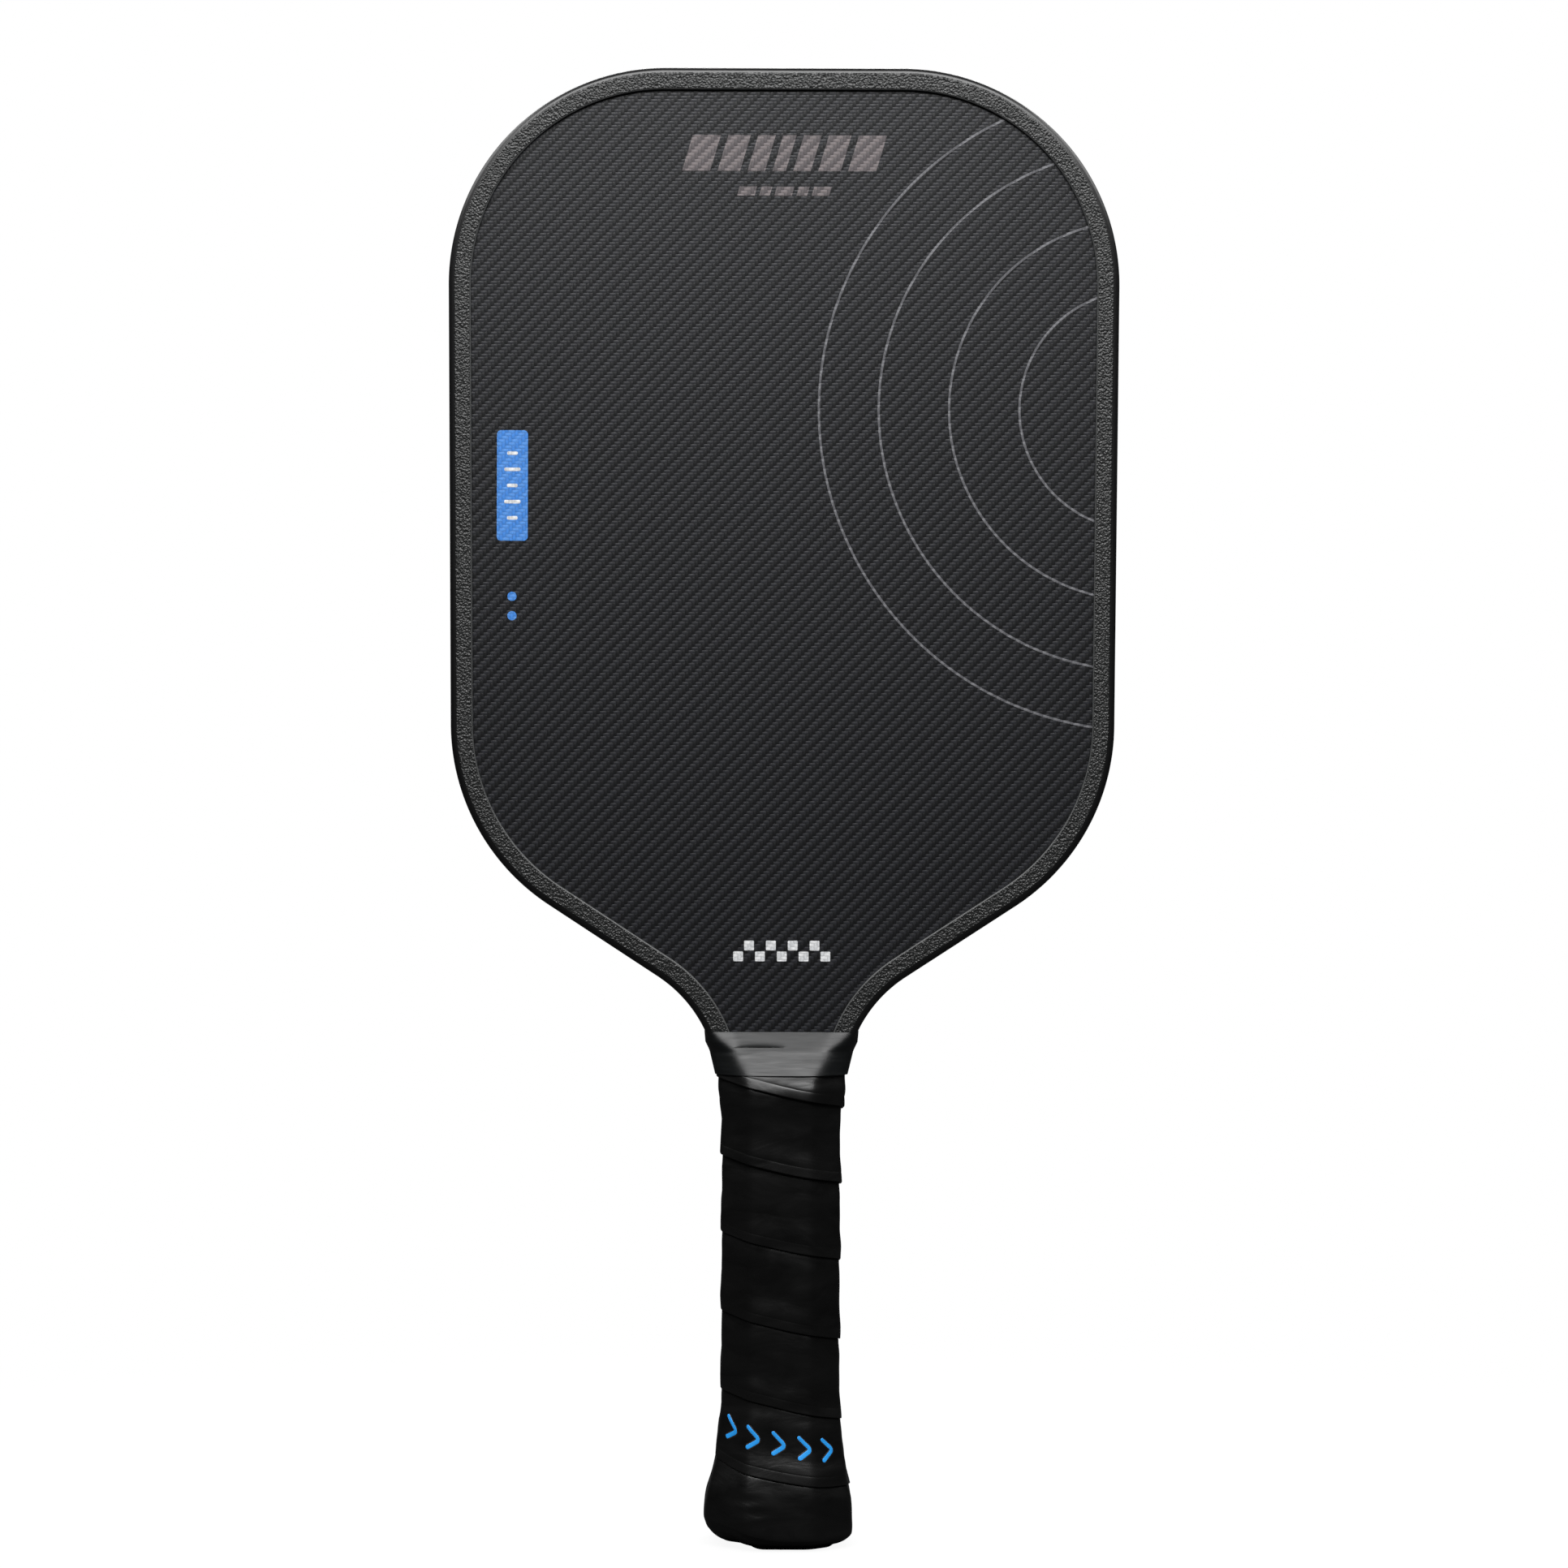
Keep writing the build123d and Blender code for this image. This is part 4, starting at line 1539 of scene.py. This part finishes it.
@dataclass(frozen=True)
class GrainedPolyurethane(Finish):
    """Injection-moulded polyurethane: a smooth nose, leather grain on the lips, a fine rim inside
    with a painted highlight.

    The UV map's second coordinate is the distance from the middle of the nose round the section.
    """

    # the paler colour of the lip's inner rim: a painted highlight along its edge
    rim_colour: str = "#4a4b4b"
    lip_colour: str = "#1a1b1b"
    lip_shades: tuple[float, float] = (0.7, 1.3)
    lip_roughness: float = 0.05
    smooth_until_mm: float = 9.7
    grain_until_mm: float = 14.0
    soft_mm: float = 0.25
    sharp_mm: float = 0.1
    pebble_mm: float = 0.6
    pebble_depth_mm: float = 0.24
    pebble_blur: float = 0.35
    wrinkle: float = 0.9
    wrinkle_scale: float = 0.7
    satin_scale: float = 2.2
    satin_share: float = 0.3

    def pebbles(self, tree: Tree) -> Link:
        """Draws wrinkled pebbles: domes over cells bent by a slow noise, with a fine satin.

        Args:
            tree: the material's nodes.

        Returns:
            The grain's height.
        """
        size = self.pebble_mm * MM
        where = add_node(tree, "TexCoord").outputs["Object"]
        bent = add_node(tree, "TexNoise", {
            "Vector": where, "Scale": self.wrinkle_scale / size, "Detail": 1.0,
        }).outputs["Color"]
        shift = add_node(tree, "VectorMath", {
            0: bent, "Scale": self.wrinkle * size,
        }, operation="SCALE").outputs[0]
        moved = add_node(tree, "VectorMath", {0: where, 1: shift}, operation="ADD").outputs[0]
        cells = add_node(tree, "TexVoronoi", {
            "Vector": moved, "Scale": 1 / size, "Smoothness": self.pebble_blur,
        }, feature="SMOOTH_F1").outputs["Distance"]
        dome = add_node(tree, "Math", {0: 1.0, 1: cells}, operation="SUBTRACT").outputs[0]
        satin = add_node(tree, "TexNoise", {
            "Vector": where, "Scale": self.satin_scale / size, "Detail": 2.0,
        }).outputs["Fac"]
        return add_node(tree, "Math", {
            0: satin, 1: self.satin_share, 2: dome,
        }, operation="MULTIPLY_ADD").outputs[0]

    def draw(self, tree: Tree) -> dict[str, Link]:
        """Lays the grain on the lip's band only, with a painted highlight as a paler rim inside it.

        Args:
            tree: the material's nodes.

        Returns:
            What to link to the shader, by its sockets' names.
        """
        uv = add_node(tree, "TexCoord").outputs["UV"]
        round_it = add_node(tree, "SeparateXYZ", {"Vector": uv}).outputs["Y"]
        lip, inside = (
            add_node(tree, "MapRange", {
                "Value": round_it, "From Min": (edge - soft) * MM, "From Max": (edge + soft) * MM,
            }, interpolation_type="SMOOTHSTEP").outputs[0]
            for edge, soft in (
                (self.smooth_until_mm, self.soft_mm), (self.grain_until_mm, -self.sharp_mm))
        )
        band = add_node(tree, "Math", {0: lip, 1: inside}, operation="MULTIPLY").outputs[0]
        pebbles = self.pebbles(tree)
        height = add_node(tree, "Math", {0: pebbles, 1: band}, operation="MULTIPLY").outputs[0]
        grained = self.mottle(tree, pebbles, self.lip_colour, self.lip_shades)
        # painted highlight: past the grain, the rim inside takes a paler colour for the light along
        # its edge
        lips = add_node(tree, "Mix", {
            0: inside, MIX_A: linear(self.rim_colour), MIX_B: grained,
        }, data_type="RGBA").outputs[2]
        tint = add_node(tree, "Mix", {
            0: lip, MIX_A: linear(self.colour), MIX_B: lips,
        }, data_type="RGBA").outputs[2]
        rough = add_node(tree, "MapRange", {
            "Value": lip, "To Min": self.roughness, "To Max": self.roughness + self.lip_roughness,
        }).outputs[0]
        bump = add_node(tree, "Bump", {"Height": height, "Distance": self.pebble_depth_mm * MM})
        return {"Base Color": tint, "Roughness": rough, "Normal": bump.outputs[0]}


@dataclass(frozen=True)
class WoundPolyurethane(Finish):
    """Smooth polyurethane skin on a non-woven: soft clouds of gloss, and a duller skived edge.

    The UV map's second coordinate is the distance from the strip's lower edge.
    """

    edge_mm: float = 2.75
    edge_soft_mm: float = 0.1
    edge_roughness: float = 0.03
    cloud_mm: float = 11.0
    cloud_stretch: tuple[float, float, float] = (0.7, 0.7, 1.7)
    cloud_span: tuple[float, float] = (0.32, 0.68)
    cloud_octaves: float = 0.55
    cloud_swirl: float = 0.6
    cloud_roughness: tuple[float, float] = (-0.03, 0.08)
    shades: tuple[float, float] = (0.7, 1.3)
    fine_mm: float = 0.5
    fine_share: float = 0.05

    def draw(self, tree: Tree) -> dict[str, Link]:
        """Draws clouds that lie along the strip, in gloss, colour and bump, and a duller edge.

        Args:
            tree: the material's nodes.

        Returns:
            What to link to the shader, by its sockets' names.
        """
        coord = add_node(tree, "TexCoord")
        where = coord.outputs["Object"]
        w = add_node(tree, "SeparateXYZ", {"Vector": coord.outputs["UV"]}).outputs["Y"]
        edge = add_node(tree, "MapRange", {
            "Value": w,
            "From Min": (self.edge_mm + self.edge_soft_mm) * MM,
            "From Max": (self.edge_mm - self.edge_soft_mm) * MM,
        }, interpolation_type="SMOOTHSTEP").outputs[0]
        along = add_node(tree, "Mapping", {"Vector": where, "Scale": self.cloud_stretch})
        clouds = add_node(tree, "TexNoise", {
            "Vector": along.outputs[0], "Scale": 1 / (self.cloud_mm * MM), "Detail": 3.0,
            "Roughness": self.cloud_octaves, "Distortion": self.cloud_swirl,
        }).outputs["Fac"]
        fine = add_node(tree, "TexNoise", {
            "Vector": where, "Scale": 1 / (self.fine_mm * MM), "Detail": 2.0,
        }).outputs["Fac"]
        glossy, dull = self.cloud_roughness
        gloss = add_node(tree, "MapRange", {
            "Value": clouds, "From Min": self.cloud_span[0], "From Max": self.cloud_span[1],
            "To Min": self.roughness + glossy, "To Max": self.roughness + dull,
        }).outputs[0]
        rough = add_node(tree, "Math", {
            0: edge, 1: self.edge_roughness, 2: gloss,
        }, operation="MULTIPLY_ADD")
        height = add_node(tree, "Math", {
            0: fine, 1: self.fine_share, 2: clouds,
        }, operation="MULTIPLY_ADD").outputs[0]
        bump = add_node(tree, "Bump", {"Height": height, "Distance": self.grain_depth_mm * MM})
        return {
            "Base Color": self.mottle(tree, clouds, self.colour, self.shades),
            "Roughness": rough.outputs[0],
            "Normal": bump.outputs[0],
        }


@dataclass(frozen=True)
class StretchVinyl(Finish):
    """Calendered vinyl tape pulled tight: satin, with faint lines along the pull."""

    pull_degrees: float = 9.0
    streak_scale: tuple[float, float, float] = (90.0, 90.0, 900.0)
    streak_swirl: float = 0.4
    streak_roughness: tuple[float, float] = (-0.05, 0.07)
    shades: tuple[float, float] = (0.85, 1.15)

    def draw(self, tree: Tree) -> dict[str, Link]:
        """Draws long streaks that run nearly level, in gloss, colour and bump.

        Args:
            tree: the material's nodes.

        Returns:
            What to link to the shader, by its sockets' names.
        """
        where = add_node(tree, "TexCoord").outputs["Object"]
        drawn = add_node(tree, "Mapping", {
            "Vector": where,
            "Rotation": (0.0, math.radians(self.pull_degrees), 0.0),
            "Scale": self.streak_scale,
        }).outputs[0]
        streak = add_node(tree, "TexNoise", {
            "Vector": drawn, "Scale": 1.0, "Detail": 3.0, "Distortion": self.streak_swirl,
        }).outputs["Fac"]
        glossy, dull = self.streak_roughness
        rough = add_node(tree, "MapRange", {
            "Value": streak, "From Min": NOISE_LOW, "From Max": NOISE_HIGH,
            "To Min": self.roughness + glossy, "To Max": self.roughness + dull,
        })
        bump = add_node(tree, "Bump", {"Height": streak, "Distance": self.grain_depth_mm * MM})
        return {
            "Base Color": self.mottle(tree, streak, self.colour, self.shades),
            "Roughness": rough.outputs[0],
            "Normal": bump.outputs[0],
        }


# ---- studio --------------------------------------------------------------------------------------


@dataclass(frozen=True)
class Studio:
    """A pale floor, one large soft lamp above the front, dim ones round it, and the camera."""

    key_place: tuple[float, float, float] = (0.0, -0.85, 1.1)
    key_aim: tuple[float, float, float] = (0.0, 0.0, 0.25)
    key_size: tuple[float, float] = (1.2, 0.5)
    key_watts: float = 20.0
    back_share: float = 0.6
    side_share: float = 0.35
    fill: float = 0.07
    card: float = 0.02
    floor_half: float = 3.0
    floor_level: float = -0.0010
    floor_reach: tuple[float, float] = (0.1, 0.45)
    floor_white: float = 0.92
    floor_dark: str = "#343434"
    floor_pale: str = "#f4f4f4"
    camera_place: tuple[float, float, float] = (0.00047, -1.2, 0.21545)
    camera_lean: float = -0.0035
    lens: float = 96.35
    sensor: float = 36.0

    def build(self) -> None:
        """Sets the whole stage."""
        self.set_world()
        self.lay_floor()
        self.hang_lamp("key", 0.0, 1.0)
        self.hang_lamp("back", math.pi, self.back_share)
        self.hang_lamp("right", math.pi / 2, self.side_share)
        self.hang_lamp("left", -math.pi / 2, self.side_share)
        self.place_camera()

    def seen_white(self, tree: Tree) -> Link:
        """Finds the rays that show the surroundings straight or through something clear.

        Args:
            tree: the nodes to add to.

        Returns:
            1 for such rays and 0 for others.
        """
        path = add_node(tree, "LightPath")
        return add_node(tree, "Math", {
            0: path.outputs["Is Camera Ray"], 1: path.outputs["Is Transmission Ray"],
        }, operation="MAXIMUM").outputs[0]

    def set_world(self) -> None:
        """White where it is seen, a dim grey fill for light, and black cards in reflections."""
        world = bpy.data.worlds.new("surroundings")
        world.use_nodes = True
        tree = world.node_tree
        tree.nodes.clear()
        glossy = add_node(tree, "LightPath").outputs["Is Glossy Ray"]
        level = add_node(tree, "MapRange", {
            "Value": glossy, "To Min": self.fill, "To Max": self.card,
        }).outputs[0]
        dim = add_node(tree, "Background", {"Color": WHITE, "Strength": level})
        white = add_node(tree, "Background", {"Color": WHITE, "Strength": 1.0})
        mix = add_node(tree, "MixShader", {
            0: self.seen_white(tree), 1: dim.outputs[0], 2: white.outputs[0],
        })
        add_node(tree, "OutputWorld", {"Surface": mix.outputs[0]})
        bpy.context.scene.world = world

    def lay_floor(self) -> None:
        """A flat sheet, pale where it is seen, that throws back little light and takes a shadow.

        It glows a little less near the paddle, so that the shadow shows there and the sheet ends in
        plain white.
        """
        mesh = bpy.data.meshes.new("floor")
        corners = np.array([(-1, -1, 0), (1, -1, 0), (1, 1, 0), (-1, 1, 0)]) * self.floor_half
        mesh.from_pydata((corners + (0, 0, self.floor_level)).tolist(), [], [(0, 1, 2, 3)])
        floor = bpy.data.objects.new("floor", mesh)
        bpy.context.scene.collection.objects.link(floor)
        material = bpy.data.materials.new("pale_floor")
        material.use_nodes = True
        tree = material.node_tree
        tree.nodes.clear()
        seen = self.seen_white(tree)
        tone = add_node(tree, "Mix", {
            0: seen, MIX_A: linear(self.floor_dark), MIX_B: linear(self.floor_pale),
        }, data_type="RGBA")
        paper = add_node(tree, "BsdfDiffuse", {"Color": tone.outputs[2]})
        glow = add_node(tree, "Emission", {"Color": WHITE, "Strength": 1.0})
        where = add_node(tree, "TexCoord").outputs["Object"]
        far = add_node(tree, "VectorMath", {0: where}, operation="LENGTH").outputs["Value"]
        near, end = self.floor_reach
        white = add_node(tree, "MapRange", {
            "Value": far, "From Min": near, "From Max": end,
            "To Min": self.floor_white, "To Max": 1.0,
        }, interpolation_type="SMOOTHSTEP").outputs[0]
        share = add_node(tree, "Math", {0: seen, 1: white}, operation="MULTIPLY")
        mix = add_node(tree, "MixShader", {
            0: share.outputs[0], 1: paper.outputs[0], 2: glow.outputs[0],
        })
        add_node(tree, "OutputMaterial", {"Surface": mix.outputs[0]})
        mesh.materials.append(material)

    def hang_lamp(self, name: str, turn: float, share: float) -> None:
        """Hangs a wide soft box above the paddle.

        Args:
            name: the lamp's name.
            turn: the angle from the front round to the right, in radians.
            share: its power as a share of the key's.
        """
        lamp = bpy.data.lights.new(name, "AREA")
        lamp.shape = "RECTANGLE"
        lamp.size, lamp.size_y = self.key_size
        lamp.energy = self.key_watts * share
        box = bpy.data.objects.new(name, lamp)
        box.location = Matrix.Rotation(turn, 3, "Z") @ Vector(self.key_place)
        aim = Vector(self.key_aim) - box.location
        box.rotation_euler = aim.to_track_quat("-Z", "Y").to_euler()
        bpy.context.scene.collection.objects.link(box)

    def place_camera(self) -> None:
        """A long lens level with the middle of the paddle, turned a hair about its own axis."""
        camera = bpy.data.cameras.new("camera")
        camera.lens = self.lens
        camera.sensor_width = self.sensor
        eye = bpy.data.objects.new("camera", camera)
        eye.location = self.camera_place
        eye.rotation_euler = (math.pi / 2, self.camera_lean, 0.0)
        bpy.context.scene.collection.objects.link(eye)
        bpy.context.scene.camera = eye


# ---- the paddle ----------------------------------------------------------------------------------


@dataclass(frozen=True)
class PackedSolids:
    """The solids that stay as packed, and the finish of each."""

    # bare carbon cloth, pressed under a peel ply: near black, with ribs that catch the light, the
    # weft's sheen painted paler and the hollows painted darker
    twill: Finish = CarbonTwill(
        "raw_carbon_twill", "#0b0c0f", roughness=0.44, grain_mm=0.5, variation=0.25)
    # polypropylene, extruded: milky and satin
    core: Finish = Finish(
        "extruded_polypropylene", "#d6d6d2", roughness=0.45, ior=1.49, grain_mm=3.0)
    # epoxy film, cured: amber and shiny
    film: Finish = Finish("cured_epoxy_film", "#c9b47c", roughness=0.3, ior=1.55, grain_mm=5.0)
    # closed-cell foam, cut: white, dull and pitted
    foam: Finish = Finish(
        "closed_cell_foam", "#d8d8d4", roughness=0.85, grain_mm=0.8, grain_depth_mm=0.2)
    # acrylic foam tape, cast: black and dull
    tape: Finish = Finish("acrylic_foam_tape", "#161617", roughness=0.7, ior=1.48, grain_mm=0.6)
    # structural foam, moulded: charcoal with a faint mottle
    pallet: Finish = Finish(
        "moulded_structural_foam", "#2c2c2c", roughness=0.6, ior=1.53, grain_mm=1.5)
    # ABS, moulded: near black with a fine spark texture
    cap: Finish = Finish(
        "moulded_abs", "#1b1b1c", roughness=0.45, ior=1.53, grain_mm=0.8, grain_depth_mm=0.03)
    # bright steel, drawn to wire: pale and glossy
    wire: Finish = Finish(
        "bright_steel_wire", "#b8b8b6", roughness=0.3, metallic=1.0, grain_mm=0.5)
    # kraft release film: buff and satin
    backing: Finish = Finish(
        "kraft_release_film", "#cfc7ad", roughness=0.6, ior=1.45, grain_mm=2.0)

    def dress(self) -> None:
        """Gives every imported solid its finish, in the mesh's own material slots."""
        for node, finish in {
            "front_face_skin": self.twill,
            "back_face_skin": self.twill,
            "honeycomb_core": self.core,
            "front_core_film": self.film,
            "back_core_film": self.film,
            "edge_foam": self.foam,
            "edge_guard_bond_tapes": self.tape,
            "handle_front_pallet": self.pallet,
            "handle_back_pallet": self.pallet,
            "butt_cap": self.cap,
            "butt_cap_staples": self.wire,
            "grip_adhesive_backing": self.backing,
        }.items():
            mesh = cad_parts[node].data
            mesh.materials.clear()
            mesh.materials.append(finish.material())
            log.info("%s: %s", node, finish.name)


@dataclass(frozen=True)
class Inks:
    """The screen inks, so thin that the weave shows through them."""

    weave: dict[str, float] = field(default_factory=lambda: {
        "roughness": 0.5, "grain_mm": 0.5, "variation": 0.12, "ink_share": 0.5})
    # for each ink, its name, its colour on the warp, and its colour on the weft, painted paler as
    # its sheen
    colours: dict[str, tuple[str, str, str]] = field(default_factory=lambda: {
        "grey": ("grey_screen_ink", "#5c5c60", "#77777b"),
        "warm": ("warm_grey_screen_ink", "#565052", "#756d6e"),
        "white": ("white_screen_ink", "#dcdee0", "#f0f1f2"),
        "blue": ("blue_screen_ink", "#4187dc", "#5092e2"),
    })

    def finishes(self) -> dict[str, Finish]:
        """Gives each ink the cloth's own weave.

        Returns:
            Each ink's finish, by its short name.
        """
        return {
            key: CarbonTwill(name, warp, weft_colour=weft, **self.weave)
            for key, (name, warp, weft) in self.colours.items()
        }


def main() -> None:
    """Builds the stage and every piece of the paddle."""
    logging.basicConfig(level=logging.INFO, format="%(message)s")
    bpy.context.scene.view_settings.view_transform = "Standard"
    Studio().build()
    PackedSolids().dress()
    # black polyurethane, injection moulded: a soft sheen on the nose, sparkle in the lips' grain
    EdgeGuard().build(GrainedPolyurethane(
        "moulded_polyurethane_guard", "#0a0a0b", roughness=0.34, ior=1.56))
    # black polyurethane skin, coagulated on a non-woven: deep black with slow clouds of gloss
    CushionGrip().build(WoundPolyurethane(
        "wound_polyurethane_skin", "#080808", roughness=0.29, grain_depth_mm=0.2))
    # black vinyl, calendered and stretched: a broad satin highlight with streaks
    TapeCollar().build(StretchVinyl(
        "stretch_vinyl_tape", "#0a0c0d", roughness=0.40, ior=1.46, grain_depth_mm=0.02))
    FacePrint().build(Inks().finishes())
    # silicone rubber, moulded: clear blue and satin, with a dull dark edge
    GripMarks().build(
        Finish("blue_raised_rubber", "#2ca4ff", roughness=0.4, grain_mm=0.6, variation=0.08),
        Finish("dark_rubber_edge", "#2b211d", roughness=0.5, grain_mm=0.6),
    )


if __name__ == "__main__":
    main()
